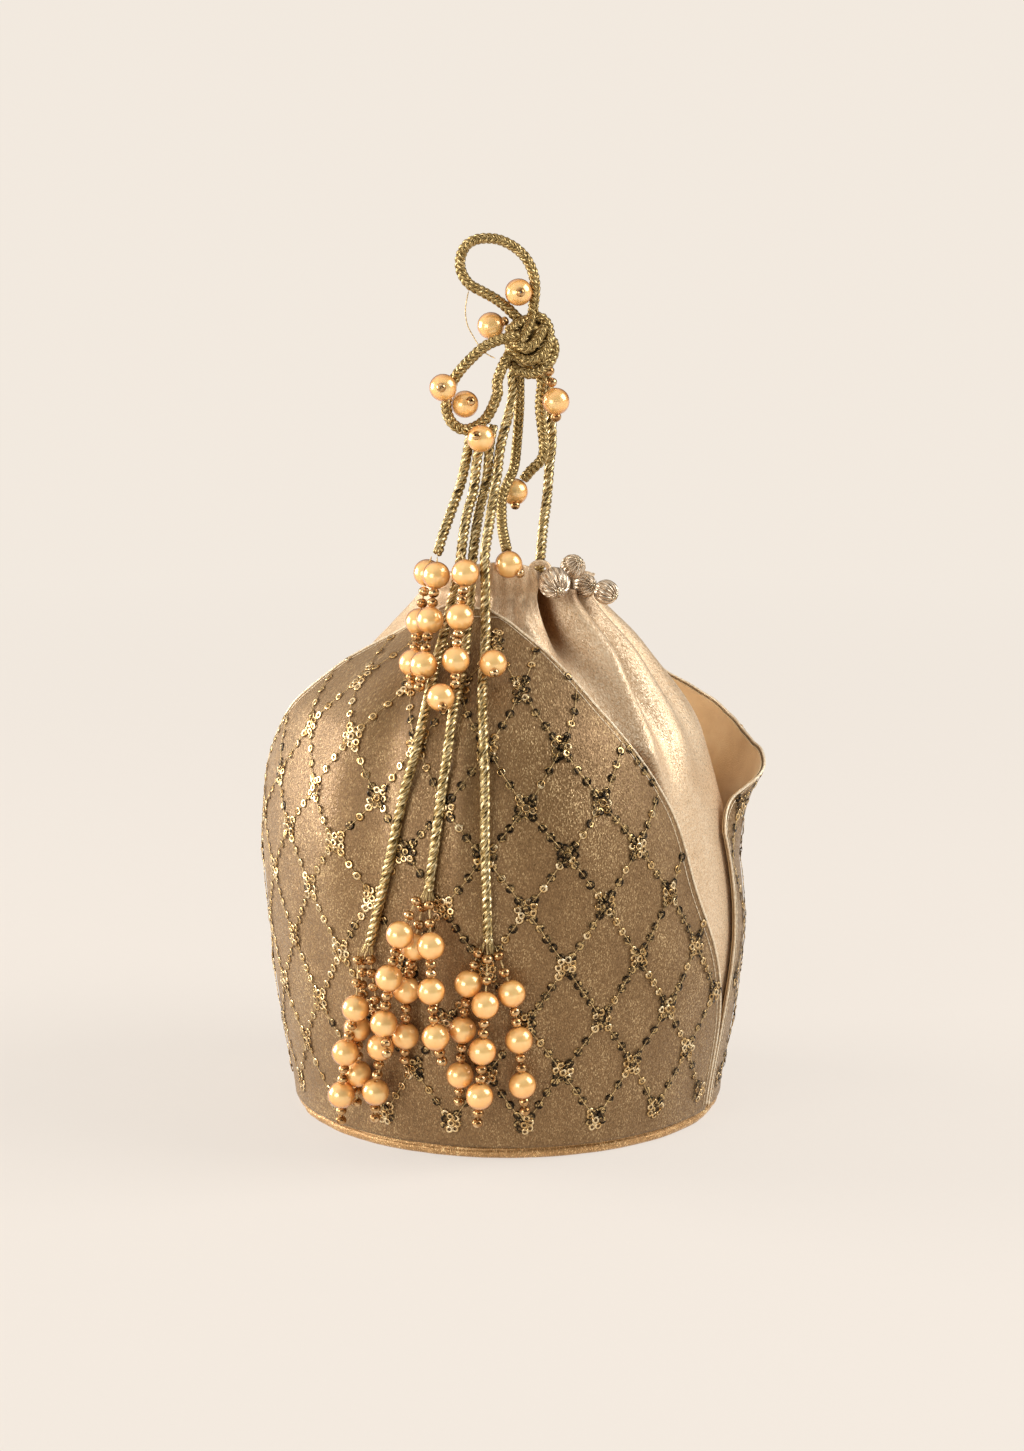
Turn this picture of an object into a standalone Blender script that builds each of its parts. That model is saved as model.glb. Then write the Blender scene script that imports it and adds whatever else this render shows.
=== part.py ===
"""Potli bag: a gathered cloth pouch wrapped by two sequinned petals and hung with beaded cords.

All sizes are millimetres, turned into metres where a mesh is made. The bag stands on Z = 0,
its front looks along -Y, and an azimuth is measured from -Y towards +X.
"""
import math

import bpy
from mathutils import Vector

MM = 0.001

# Running gap between two pieces that touch on the real bag
TOUCH_GAP = 0.35

# Base
BASE_RADIUS = 78.0
BASE_PANEL_THICKNESS = 4.4
BASE_PANEL_LIP = 0.8
BASE_PANEL_ROUNDING = 1.8
BASE_BOARD_THICKNESS = 2.0
BASE_BOARD_MARGIN = 1.6

# Pouch
BELLY_HEIGHT = 75.0
BELLY_RADIUS = 86.0
SHOULDER_HEIGHT = 142.0
SHOULDER_RADIUS = 71.0
THROAT_HEIGHT = 172.0
THROAT_RADIUS = 49.5
NECK_HEIGHT = 193.0
NECK_RADIUS = 31.5
RIM_HEIGHT = 204.0
RIM_RADIUS = 32.0
RIM_DIP = 5.0
RIM_DIP_AZIMUTH = 55.0
RIM_DIP_SPREAD = 28.0
RIM_BACK_DROP = 3.0
CLOTH_THICKNESS = 1.2
GATHER_DEPTH = 2.4
GATHER_START = 120.0
FREE_GATHER_ROOM = 8.0
POUCH_COLUMNS = 96
POUCH_ROWS = 12

# Lining inside the pouch
LINING_THICKNESS = 0.8
LINING_TOP = 158.0
LINING_STEPS = 32

# Petals
PETAL_AZIMUTH = -23.5
PETAL_THICKNESS = 0.8
PETAL_LINING_THICKNESS = 0.6
PETAL_TOP = 194.0
PETAL_CORNER_HEIGHT = 126.0
PETAL_CORNER_HALF_ANGLE = 68.0
PETAL_BASE_HALF_ANGLE = 88.6
PETAL_TIP_HALF_ANGLE = 13.0
PETAL_COLUMNS = 17
PETAL_ROWS = 12
PETAL_BASE_RADIUS = 80.6
PETAL_BELLY_HEIGHT = 108.0
PETAL_BELLY_RADIUS = 91.5
PETAL_BROW_HEIGHT = 153.0
PETAL_BROW_RADIUS = 81.5
PETAL_FALL_HEIGHT = 171.0
PETAL_FALL_RADIUS = 65.0
PETAL_NECK_HEIGHT = 184.0
PETAL_NECK_RADIUS = 46.0

# Back petal, which falls open away from the pouch
BACK_PETAL_TOP = 166.0
BACK_PETAL_HALF_ANGLE = 84.0
BACK_PETAL_COLUMNS = 22
BACK_CORNER_TURN = 66.0
BACK_CORNER_HEIGHT = 131.0
BACK_CORNER_RADIUS = 95.0
BACK_TOP_RADIUS = 88.0

# Beads and cords
PEARL_RADIUS = 5.0
SEED_RADIUS = 1.9
THREAD_RADIUS = 0.5
CORD_RADIUS = 1.85
BALL_RADIUS = 5.4
KNOT_CENTRE = Vector((8.0, 0.0, 284.5))
KNOT_RADII = Vector((8.6, 8.2, 11.4))

COLLECTION_NAME = "potli_bag"


def clear_scene():
    """Empty the scene that this script fills."""
    for item in list(bpy.data.objects):
        bpy.data.objects.remove(item, do_unlink=True)


def make_collection():
    """The collection that holds the bag."""
    collection = bpy.data.collections.new(COLLECTION_NAME)
    bpy.context.scene.collection.children.link(collection)
    return collection


def material(name, colour, roughness, metallic):
    """A plain Principled material."""
    result = bpy.data.materials.new(name)
    result.use_nodes = True
    shader = result.node_tree.nodes["Principled BSDF"]
    shader.inputs["Base Color"].default_value = (*colour, 1.0)
    shader.inputs["Roughness"].default_value = roughness
    shader.inputs["Metallic"].default_value = metallic
    return result


def finish_object(item, name, look, smooth=True):
    """Name an object, give it its material and file it in the bag's collection."""
    item.name = name
    item.data.name = name
    item.data.materials.clear()
    item.data.materials.append(look)
    for collection in list(item.users_collection):
        collection.objects.unlink(item)
    bpy.data.collections[COLLECTION_NAME].objects.link(item)
    if smooth and item.type == "MESH":
        item.data.polygons.foreach_set("use_smooth", [True] * len(item.data.polygons))
    return item


def through(knots, height):
    """Smooth curve through (height, value) knots, flat beyond the first and the last."""
    if height <= knots[0][0]:
        return knots[0][1]
    if height >= knots[-1][0]:
        return knots[-1][1]
    index = next(i for i in range(len(knots) - 1) if height <= knots[i + 1][0])
    (h0, v0), (h1, v1) = knots[index], knots[index + 1]
    before = knots[max(index - 1, 0)]
    after = knots[min(index + 2, len(knots) - 1)]
    slope0 = (v1 - before[1]) / (h1 - before[0])
    slope1 = (after[1] - v0) / (after[0] - h0)
    t = (height - h0) / (h1 - h0)
    span = h1 - h0
    return (
        (2 * t ** 3 - 3 * t ** 2 + 1) * v0
        + (t ** 3 - 2 * t ** 2 + t) * span * slope0
        + (3 * t ** 2 - 2 * t ** 3) * v1
        + (t ** 3 - t ** 2) * span * slope1
    )


def smooth_step(edge0, edge1, value):
    """0 below edge0, 1 above edge1, eased between."""
    t = min(max((value - edge0) / (edge1 - edge0), 0.0), 1.0)
    return t * t * (3.0 - 2.0 * t)


def at_azimuth(radius, azimuth_deg, height):
    """Point at a radius, an azimuth and a height."""
    angle = math.radians(azimuth_deg)
    return Vector((radius * math.sin(angle), -radius * math.cos(angle), height))


def pouch_radius(height):
    """Outer radius of the pouch before its gathers."""
    knots = [
        (BASE_PANEL_THICKNESS, BASE_RADIUS),
        (BELLY_HEIGHT, BELLY_RADIUS),
        (SHOULDER_HEIGHT, SHOULDER_RADIUS),
        (THROAT_HEIGHT, THROAT_RADIUS),
        (NECK_HEIGHT, NECK_RADIUS),
        (RIM_HEIGHT, RIM_RADIUS),
    ]
    return through(knots, height)


def turn_between(azimuth_deg, centre_deg):
    """Signed angle from a centre to an azimuth, from -180 to 180."""
    return (azimuth_deg - centre_deg + 180.0) % 360.0 - 180.0


def gather_folds():
    """The gathers: azimuth at the neck, azimuth low down, depth, width in degrees, lowest height.

    A depth above zero is a ridge and one below zero a hollow. Those on the right are the ones that
    show beside the front petal, and the rest follow each other round the neck.
    """
    folds = [
        (-6.0, -12.0, 2.6, 7.0, 165.0),
        (7.0, 21.0, 3.2, 6.0, 172.0),
        (18.5, 20.0, 2.4, 3.0, 186.0),
        (26.0, 36.0, -5.6, 6.5, 158.0),
        (48.0, 46.0, 4.6, 8.0, 122.0),
        (56.0, 49.5, -3.0, 3.0, 128.0),
        (64.0, 57.0, 4.6, 8.0, 116.0),
        (80.0, 70.0, -2.8, 7.0, 128.0),
        (92.0, 82.0, 3.0, 8.0, 130.0),
    ]
    for number in range(19):
        azimuth = 104.0 + 12.5 * number
        side = 1.0 if number % 2 == 0 else -1.0
        neck = azimuth + 2.4 * math.sin(2.1 * number)
        low = azimuth + 5.5 * math.sin(1.3 * number + 1.0)
        depth = side * (3.2 + 0.8 * math.sin(3.7 * number))
        width = 7.2 + 1.2 * math.sin(2.9 * number)
        folds.append((neck, low, depth, width, 140.0 + 20.0 * math.sin(1.7 * number)))
    return folds


FOLDS = gather_folds()


def gather(azimuth_deg, height):
    """How far the gathers move the pouch's cloth: none on the belly, and held down under the petal."""
    total = 0.0
    for neck, low, depth, width, lowest in FOLDS:
        share = smooth_step(lowest, NECK_HEIGHT, height)
        centre = low + (neck - low) * share
        spread = width * (1.25 - 0.35 * share)
        fade = smooth_step(lowest - 12.0, lowest + 34.0, height)
        total += depth * fade * math.exp(-(turn_between(azimuth_deg, centre) / spread) ** 2)
    total *= 1.0 - 0.25 * smooth_step(176.0, 200.0, height)
    free = abs(turn_between(azimuth_deg, PETAL_AZIMUTH)) - petal_half_angle(height)
    room = 0.9 * GATHER_DEPTH * smooth_step(GATHER_START, NECK_HEIGHT, height)
    above = smooth_step(PETAL_TOP, PETAL_TOP + 6.0, height)
    return min(total, room + FREE_GATHER_ROOM * max(smooth_step(0.0, 7.0, free), above))


def rim_height(azimuth_deg):
    """Height of the pouch's rim, which dips where the mouth balls sit, and at the back."""
    turn = turn_between(azimuth_deg, RIM_DIP_AZIMUTH)
    back = smooth_step(80.0, 150.0, abs(turn_between(azimuth_deg, 0.0)))
    return RIM_HEIGHT - RIM_DIP * math.exp(-0.5 * (turn / RIM_DIP_SPREAD) ** 2) - RIM_BACK_DROP * back


def petal_profile(height):
    """Outer radius of a petal where it stands proud of the pouch."""
    knots = [
        (BASE_PANEL_THICKNESS, PETAL_BASE_RADIUS),
        (PETAL_BELLY_HEIGHT, PETAL_BELLY_RADIUS),
        (PETAL_BROW_HEIGHT, PETAL_BROW_RADIUS),
        (PETAL_FALL_HEIGHT, PETAL_FALL_RADIUS),
        (PETAL_NECK_HEIGHT, PETAL_NECK_RADIUS),
        (PETAL_TOP, NECK_RADIUS + GATHER_DEPTH + 4.0),
    ]
    return through(knots, height)


def petal_clear_radius(height):
    """Least radius at which a petal's outer face clears the pouch and its own lining."""
    cloth = PETAL_THICKNESS + PETAL_LINING_THICKNESS + 2.0 * TOUCH_GAP
    fold = GATHER_DEPTH * smooth_step(GATHER_START, NECK_HEIGHT, height)
    return pouch_radius(height) + fold + cloth + 0.3


def petal_half_angle(height):
    """Half of the angle that a petal covers: widest at the base, a corner, then up to the tip."""
    knots = [
        (BASE_PANEL_THICKNESS, PETAL_BASE_HALF_ANGLE),
        (36.0, PETAL_BASE_HALF_ANGLE),
        (63.0, 83.5),
        (93.0, 74.7),
        (PETAL_CORNER_HEIGHT, PETAL_CORNER_HALF_ANGLE),
        (162.0, 51.0),
        (179.0, 40.5),
        (189.0, 26.0),
        (PETAL_TOP, PETAL_TIP_HALF_ANGLE),
    ]
    return through(knots, height)


def front_petal_radius(azimuth_deg, height):
    """Outer radius of the front petal: proud on the left, close to the pouch on the right."""
    hug = smooth_step(8.0, 58.0, azimuth_deg)
    proud = max(petal_profile(height), petal_clear_radius(height))
    close = petal_clear_radius(height)
    return proud + (close - proud) * 0.8 * hug


def back_petal_top(turn_deg):
    """Height of the back petal's edge at a turn from its middle: a low point, then two corners."""
    knots = [
        (0.0, BACK_PETAL_TOP),
        (10.0, 158.0),
        (18.0, 150.0),
        (30.0, 143.0),
        (42.0, 137.0),
        (52.0, 133.5),
        (BACK_CORNER_TURN, BACK_CORNER_HEIGHT),
        (76.0, 121.0),
        (BACK_PETAL_HALF_ANGLE, 108.0),
    ]
    return through(knots, abs(turn_deg))


def back_petal_radius(turn_deg, height):
    """Outer radius of the back petal: it flares towards its top, and its lower sides curl inwards."""
    knots = [
        (BASE_PANEL_THICKNESS, PETAL_BASE_RADIUS),
        (60.0, 84.0),
        (95.0, 86.5),
        (112.0, 89.0),
        (BACK_CORNER_HEIGHT, BACK_CORNER_RADIUS),
        (150.0, 93.0),
        (BACK_PETAL_TOP, BACK_TOP_RADIUS),
    ]
    close = petal_clear_radius(height)
    proud = max(through(knots, height), close)
    curl = smooth_step(BACK_CORNER_TURN, BACK_PETAL_HALF_ANGLE, abs(turn_deg))
    curl *= 1.0 - smooth_step(118.0, BACK_CORNER_HEIGHT, height)
    return proud + (close - proud) * curl


def mesh_object(name, vertices, faces, look):
    """An object from vertices in millimetres and their faces."""
    mesh = bpy.data.meshes.new(name)
    mesh.from_pydata([vertex * MM for vertex in vertices], [], faces)
    mesh.update()
    item = bpy.data.objects.new(name, mesh)
    bpy.context.scene.collection.objects.link(item)
    return finish_object(item, name, look)


def loft_wall(name, outer_rings, inner_rings, look):
    """Closed wall between outer and inner rings, bottom to top, open through its middle."""
    count = len(outer_rings[0])
    rings = outer_rings + inner_rings[::-1]
    vertices = [point for ring in rings for point in ring]
    faces = []
    for row in range(len(rings)):
        after = (row + 1) % len(rings)
        for column in range(count):
            right = (column + 1) % count
            faces.append(
                (row * count + column, row * count + right, after * count + right, after * count + column)
            )
    return mesh_object(name, vertices, faces, look)


def loft_sheet(name, outer_rows, inner_rows, look):
    """Closed sheet between an outer and an inner grid, split into triangles along the same diagonals."""
    loops = [outer + inner[::-1] for outer, inner in zip(outer_rows, inner_rows)]
    count = len(loops[0])
    half = count // 2
    top = (len(loops) - 1) * count
    vertices = [point for loop in loops for point in loop]
    faces = []
    for row in range(len(loops) - 1):
        for column in range(count):
            a = row * count + column
            b = row * count + (column + 1) % count
            c = b + count
            d = a + count
            if column < half:
                faces += [(a, b, c), (a, c, d)]
            else:
                faces += [(a, b, d), (b, c, d)]
    for column in range(half - 1):
        opposite = count - 1 - column
        faces.append((column, opposite, opposite - 1, column + 1))
        faces.append((top + column, top + column + 1, top + opposite - 1, top + opposite))
    return mesh_object(name, vertices, faces, look)


def turned(name, outline, steps, look):
    """Turned solid from (radius, height) points that run from top to bottom."""
    mesh = bpy.data.meshes.new(name)
    points = [Vector((radius, 0.0, height)) * MM for radius, height in outline]
    mesh.from_pydata(points, [(i, i + 1) for i in range(len(points) - 1)], [])
    item = bpy.data.objects.new(name, mesh)
    bpy.context.scene.collection.objects.link(item)
    screw = item.modifiers.new("turn", "SCREW")
    screw.axis = "Z"
    screw.steps = steps
    screw.render_steps = steps
    screw.use_merge_vertices = True
    screw.merge_threshold = 0.00001
    screw.use_smooth_shade = True
    return finish_object(item, name, look)


def base_panel(look):
    """Padded round panel under the bag, with a rolled edge."""
    bpy.ops.mesh.primitive_cylinder_add(
        vertices=48,
        radius=(BASE_RADIUS + BASE_PANEL_LIP) * MM,
        depth=BASE_PANEL_THICKNESS * MM,
        location=(0.0, 0.0, BASE_PANEL_THICKNESS / 2.0 * MM),
    )
    item = bpy.context.object
    bevel = item.modifiers.new("rolled_edge", "BEVEL")
    bevel.width = BASE_PANEL_ROUNDING * MM
    bevel.segments = 3
    bevel.limit_method = "ANGLE"
    return finish_object(item, "base_panel", look, smooth=False)


def base_board(look):
    """Stiff round board that keeps the bag's floor flat."""
    radius = BASE_RADIUS - CLOTH_THICKNESS - BASE_BOARD_MARGIN
    bottom = BASE_PANEL_THICKNESS + TOUCH_GAP
    bpy.ops.mesh.primitive_cylinder_add(
        vertices=48,
        radius=radius * MM,
        depth=BASE_BOARD_THICKNESS * MM,
        location=(0.0, 0.0, (bottom + BASE_BOARD_THICKNESS / 2.0) * MM),
    )
    return finish_object(bpy.context.object, "base_board", look, smooth=False)


def pouch_shell(look):
    """Side wall of the pouch: smooth at the belly and gathered into folds at the neck."""
    outer_rings = []
    inner_rings = []
    bottom = BASE_PANEL_THICKNESS + TOUCH_GAP
    for row in range(POUCH_ROWS + 1):
        part = row / POUCH_ROWS
        share = 1.0 - (1.0 - part) ** 1.35
        outer = []
        inner = []
        for column in range(POUCH_COLUMNS):
            azimuth = 360.0 * column / POUCH_COLUMNS
            height = bottom + (rim_height(azimuth) - bottom) * share
            radius = pouch_radius(height) + gather(azimuth, height)
            outer.append(at_azimuth(radius, azimuth, height))
            inner.append(at_azimuth(radius - CLOTH_THICKNESS, azimuth, height))
        outer_rings.append(outer)
        inner_rings.append(inner)
    return loft_wall("pouch_shell", outer_rings, inner_rings, look)


def pouch_lining(look):
    """Cup of lining cloth inside the pouch, open at the top."""
    floor = BASE_PANEL_THICKNESS + BASE_BOARD_THICKNESS + 2.0 * TOUCH_GAP
    clearance = CLOTH_THICKNESS + TOUCH_GAP
    heights = [LINING_TOP, 140.0, 115.0, 85.0, 50.0, floor]

    def outer_radius(height):
        hollow = min(gather(azimuth, height) for azimuth in range(0, 360, 2))
        chord = 1.0 - 0.5 * (math.pi / POUCH_COLUMNS) ** 2
        return (pouch_radius(height) + min(hollow, 0.0)) * chord - clearance

    inner = [(outer_radius(height) - LINING_THICKNESS, height) for height in heights[:-1]]
    outer = [(outer_radius(height), height) for height in heights]
    bowl = [(outer_radius(floor) - LINING_THICKNESS, floor + LINING_THICKNESS)]
    outline = [(0.0, floor + LINING_THICKNESS)] + bowl + inner[::-1] + outer + [(0.0, floor)]
    return turned("pouch_lining", outline, LINING_STEPS, look)


def front_petal_grid(depth):
    """Grid of points on the front petal at a depth under its outer face, bottom row first."""
    bottom = BASE_PANEL_THICKNESS + TOUCH_GAP
    rows = []
    for row in range(PETAL_ROWS + 1):
        part = row / PETAL_ROWS
        height = bottom + (PETAL_TOP - bottom) * (1.0 - (1.0 - part) ** 1.5)
        half = petal_half_angle(height)
        points = []
        for column in range(PETAL_COLUMNS + 1):
            azimuth = PETAL_AZIMUTH + half * (2.0 * column / PETAL_COLUMNS - 1.0)
            points.append(at_azimuth(front_petal_radius(azimuth, height) - depth, azimuth, height))
        rows.append(points)
    return rows


def back_petal_grid(depth):
    """Grid of points on the back petal at a depth under its outer face, bottom row first."""
    bottom = BASE_PANEL_THICKNESS + TOUCH_GAP
    widening = PETAL_BASE_HALF_ANGLE / BACK_PETAL_HALF_ANGLE - 1.0
    rows = []
    for row in range(PETAL_ROWS + 1):
        part = row / PETAL_ROWS
        points = []
        for column in range(BACK_PETAL_COLUMNS + 1):
            turn = BACK_PETAL_HALF_ANGLE * (2.0 * column / BACK_PETAL_COLUMNS - 1.0)
            height = bottom + (back_petal_top(turn) - bottom) * part
            spread = 1.0 + widening * (1.0 - smooth_step(36.0, 100.0, height))
            radius = back_petal_radius(turn, height) - depth
            points.append(at_azimuth(radius, PETAL_AZIMUTH + 180.0 + turn * spread, height))
        rows.append(points)
    return rows


def petal(name, grid_of, look, lining_look):
    """A petal of sequinned tissue and the lining cloth behind it."""
    loft_sheet(name, grid_of(0.0), grid_of(PETAL_THICKNESS), look)
    face = PETAL_THICKNESS + TOUCH_GAP
    back = face + PETAL_LINING_THICKNESS
    loft_sheet(name + "_lining", grid_of(face), grid_of(back), lining_look)


def on_cloth(x, height, stand_off):
    """Point in front of the front petal, at a distance out from its cloth."""
    azimuth = 0.0
    for _ in range(6):
        radius = front_petal_radius(azimuth, height) + stand_off
        azimuth = math.degrees(math.asin(max(-0.99, min(0.99, x / radius))))
    return at_azimuth(radius, azimuth, height)


def tube(name, points, radii, look, closed=False, sides=2):
    """Round tube along points in millimetres, with a radius at each of them."""
    curve = bpy.data.curves.new(name, "CURVE")
    curve.dimensions = "3D"
    curve.bevel_depth = MM
    curve.bevel_resolution = sides
    curve.use_fill_caps = True
    spline = curve.splines.new("POLY")
    spline.points.add(len(points) - 1)
    for target, point, radius in zip(spline.points, points, radii):
        target.co = (*(point * MM), 1.0)
        target.radius = radius
    spline.use_cyclic_u = closed
    item = bpy.data.objects.new(name, curve)
    bpy.context.scene.collection.objects.link(item)
    return finish_object(item, name, look)


def smoothed(points, spacing=8.0):
    """Points along a smooth curve through the chosen ones, about a spacing apart."""
    result = [points[0]]
    for index in range(len(points) - 1):
        p0, p1, p2, p3 = (points[min(max(index + k, 0), len(points) - 1)] for k in (-1, 0, 1, 2))
        count = max(1, round((p2 - p1).length / spacing))
        for step in range(1, count + 1):
            t = step / count
            result.append(
                0.5 * (2 * p1 + (p2 - p0) * t + (2 * p0 - 5 * p1 + 4 * p2 - p3) * t ** 2
                       + (3 * p1 - p0 - 3 * p2 + p3) * t ** 3)
            )
    return result


def cord(name, points, look):
    """A limp cord along its chosen route."""
    route = smoothed([Vector(point) for point in points])
    return tube(name, route, [CORD_RADIUS] * len(route), look)


def knot_exit(x, y, z, clear=0.0):
    """Point just off the knot's surface in a direction, and further out by a clear length."""
    direction = Vector((x, y, z))
    scale = 1.0 / math.sqrt(sum((direction[i] / KNOT_RADII[i]) ** 2 for i in range(3)))
    surface = direction * scale
    normal = Vector([surface[i] / KNOT_RADII[i] ** 2 for i in range(3)]).normalized()
    return KNOT_CENTRE + surface + normal * (TOUCH_GAP + clear)


def bead_points(centre, along, radius, share_list):
    """Centre-line points and radii that give a bead its round outline."""
    points = []
    for share in share_list:
        points.append((centre + along * (radius * share), radius * math.sqrt(1.0 - share ** 2)))
    return points


PEARL_SHARES = (-0.93, -0.38, 0.38, 0.93)
SEED_SHARES = (-0.55, 0.55)


def strand(name, stations, look, seeds_first=2, seeds_between=2, seeds_last=2):
    """A thread strung with pearls at the middle stations and seed beads between them."""
    chain = [(stations[0], THREAD_RADIUS)]
    last = len(stations) - 1
    for index in range(1, last + 1):
        begin, end = stations[index - 1], stations[index]
        along = (end - begin).normalized()
        start_skip = 0.8 if index == 1 else PEARL_RADIUS
        end_skip = 0.0 if index == last else PEARL_RADIUS
        seeds = seeds_first if index == 1 else (seeds_last if index == last else seeds_between)
        room = (end - begin).length - start_skip - end_skip
        for number in range(seeds):
            centre = begin + along * (start_skip + room * (number + 0.5) / seeds)
            size = min(SEED_RADIUS, room / seeds / 1.15)
            chain += bead_points(centre, along, size, SEED_SHARES)
        if index != last:
            ahead = (stations[index + 1] - begin).normalized()
            chain += bead_points(end, ahead, PEARL_RADIUS, PEARL_SHARES)
    chain.append((stations[-1], THREAD_RADIUS))
    points = [point for point, _ in chain]
    radii = [radius for _, radius in chain]
    return tube(name, points, radii, look)


def pearl(name, centre, look):
    """A single pearl sewn to a cord."""
    bpy.ops.mesh.primitive_uv_sphere_add(
        segments=12, ring_count=7, radius=PEARL_RADIUS * MM, location=Vector(centre) * MM
    )
    return finish_object(bpy.context.object, name, look)


def mouth_ball(name, centre, look):
    """A cloth-covered ball sewn at the mouth of the pouch."""
    bpy.ops.mesh.primitive_uv_sphere_add(
        segments=14, ring_count=8, radius=BALL_RADIUS * MM, location=centre * MM
    )
    return finish_object(bpy.context.object, name, look)


def knot(look):
    """The overhand knot that gathers all the cords, as one rounded body."""
    bpy.ops.mesh.primitive_uv_sphere_add(segments=16, ring_count=10, radius=MM, location=KNOT_CENTRE * MM)
    item = bpy.context.object
    item.scale = KNOT_RADII
    return finish_object(item, "cord_knot", look)


def build_cords(look):
    """Every cord, from the knot or the bow down to where it ends."""
    cord("handle_loop", [
        knot_exit(0.1, 0.2, 1.0), knot_exit(0.1, 0.2, 1.0, 2.5), (10.6, 0, 305), (6.2, 0, 316),
        (-2.9, 0, 322.4), (-8, 0, 323.2), (-12.5, 0, 320.5), (-17, 0, 312.2), (-15.6, 0, 305.7),
        (-10.1, 0, 302.1), (-4, 0, 300), knot_exit(-0.75, 0.0, 1.0, 2.0), knot_exit(-0.75, 0.0, 1.0),
    ], look)
    cord("bow_loop", [
        knot_exit(-0.6, -0.8, 0.5), knot_exit(-0.6, -0.8, 0.5, 2.5), (-7, -11.5, 286.5), (-13.7, -12, 281),
        (-19.2, -12, 274.3), (-22.3, -12, 266.3), (-21, -12, 259), (-15.6, -11.5, 255.4),
        (-8.3, -11, 259), (-3.9, -11, 268), (-3.8, -10, 273), knot_exit(-0.95, -0.75, -0.45, 2.5),
        knot_exit(-0.95, -0.75, -0.45),
    ], look)
    cord("tassel_cord_right", [
        knot_exit(-0.55, -0.4, -1.0), knot_exit(-0.55, -0.4, -1.0, 2.5), (1.6, -5, 266), (-2.5, -9, 249.7),
        (-3.8, -15, 240), (-5.2, -22, 232), (-6.6, -31, 224), (-8.2, -42, 214), (-8, -45, 204),
        (-8, -47, 193), on_cloth(-8, 184, 5.5), on_cloth(-9, 171, 5), on_cloth(-8.5, 156, 3.4),
        on_cloth(-8, 140, 2.5), on_cloth(-8, 120, 2.2), on_cloth(-7.5, 100, 2.2), on_cloth(-7, 84, 2.2),
    ], look)
    cord("tassel_cord_middle", [
        (-5.4, -9.5, 257), (-6.7, -10, 249), (-7.6, -13, 238), (-10.4, -21, 226.5), (-11.9, -32, 218.2),
        (-13, -40, 208), (-13.4, -42, 199), (-14.4, -48, 189), on_cloth(-16, 177, 5.4), on_cloth(-19, 165, 4.4),
        on_cloth(-21, 152, 3.2), on_cloth(-23, 139, 2.2), on_cloth(-25.3, 122, 2.2), on_cloth(-28, 102, 2.2),
    ], look)
    cord("tassel_cord_left", [
        (-9.6, -8.5, 255.3), (-11.4, -12.8, 243), (-12.4, -18, 234.2), (-14.8, -26, 226.3), (-16.2, -34, 218.5),
        (-17.4, -37.5, 209), (-19.4, -37, 200), (-22, -42, 189.5), on_cloth(-25, 179, 5.6),
        on_cloth(-29, 164, 4.4), on_cloth(-32.5, 150, 3.2), on_cloth(-37, 134, 2.2), on_cloth(-41, 116, 2.2),
        on_cloth(-45, 98, 2.2), on_cloth(-49.5, 79, 2.2),
    ], look)
    cord("short_tassel_cord", [
        (-13.8, -10.5, 253.0), (-14.8, -10, 246.4), (-17, -14, 236.3), (-20.4, -22, 227.2), (-23.8, -31, 218.5),
        (-25.2, -35.5, 213.6),
    ], look)
    cord("pearl_cord", [
        knot_exit(-0.3, 0.5, -1.0), knot_exit(-0.3, 0.5, -1.0, 2.5), (4.2, 3.5, 262), (3.3, 2, 248.5),
        (2.2, -2, 240), (-0.6, -6, 234), (-2.2, -10, 229), (-2, -20, 220.8), (-0.3, -33.3, 214.3),
    ], look)
    cord("branch_cord", [
        knot_exit(0.3, -0.1, -1.0), knot_exit(0.3, -0.1, -1.0, 2.5), (11.8, 0, 262), (13.2, -1, 248.5),
        (12.3, -1, 243), (8.5, -0.5, 238.9), (5.6, 0, 235.2),
    ], look)
    cord("draw_cord", [
        knot_exit(0.55, 0.6, -1.0), knot_exit(0.55, 0.6, -1.0, 2.5), (15.8, 6.5, 258), (16.1, 6.5, 247.7),
        (15.3, 6, 239.9), (14.4, 2, 228.1), (13, -9, 219.5), (12, -21, 211), (11.6, -28.0, 206.6),
    ], look)


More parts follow.
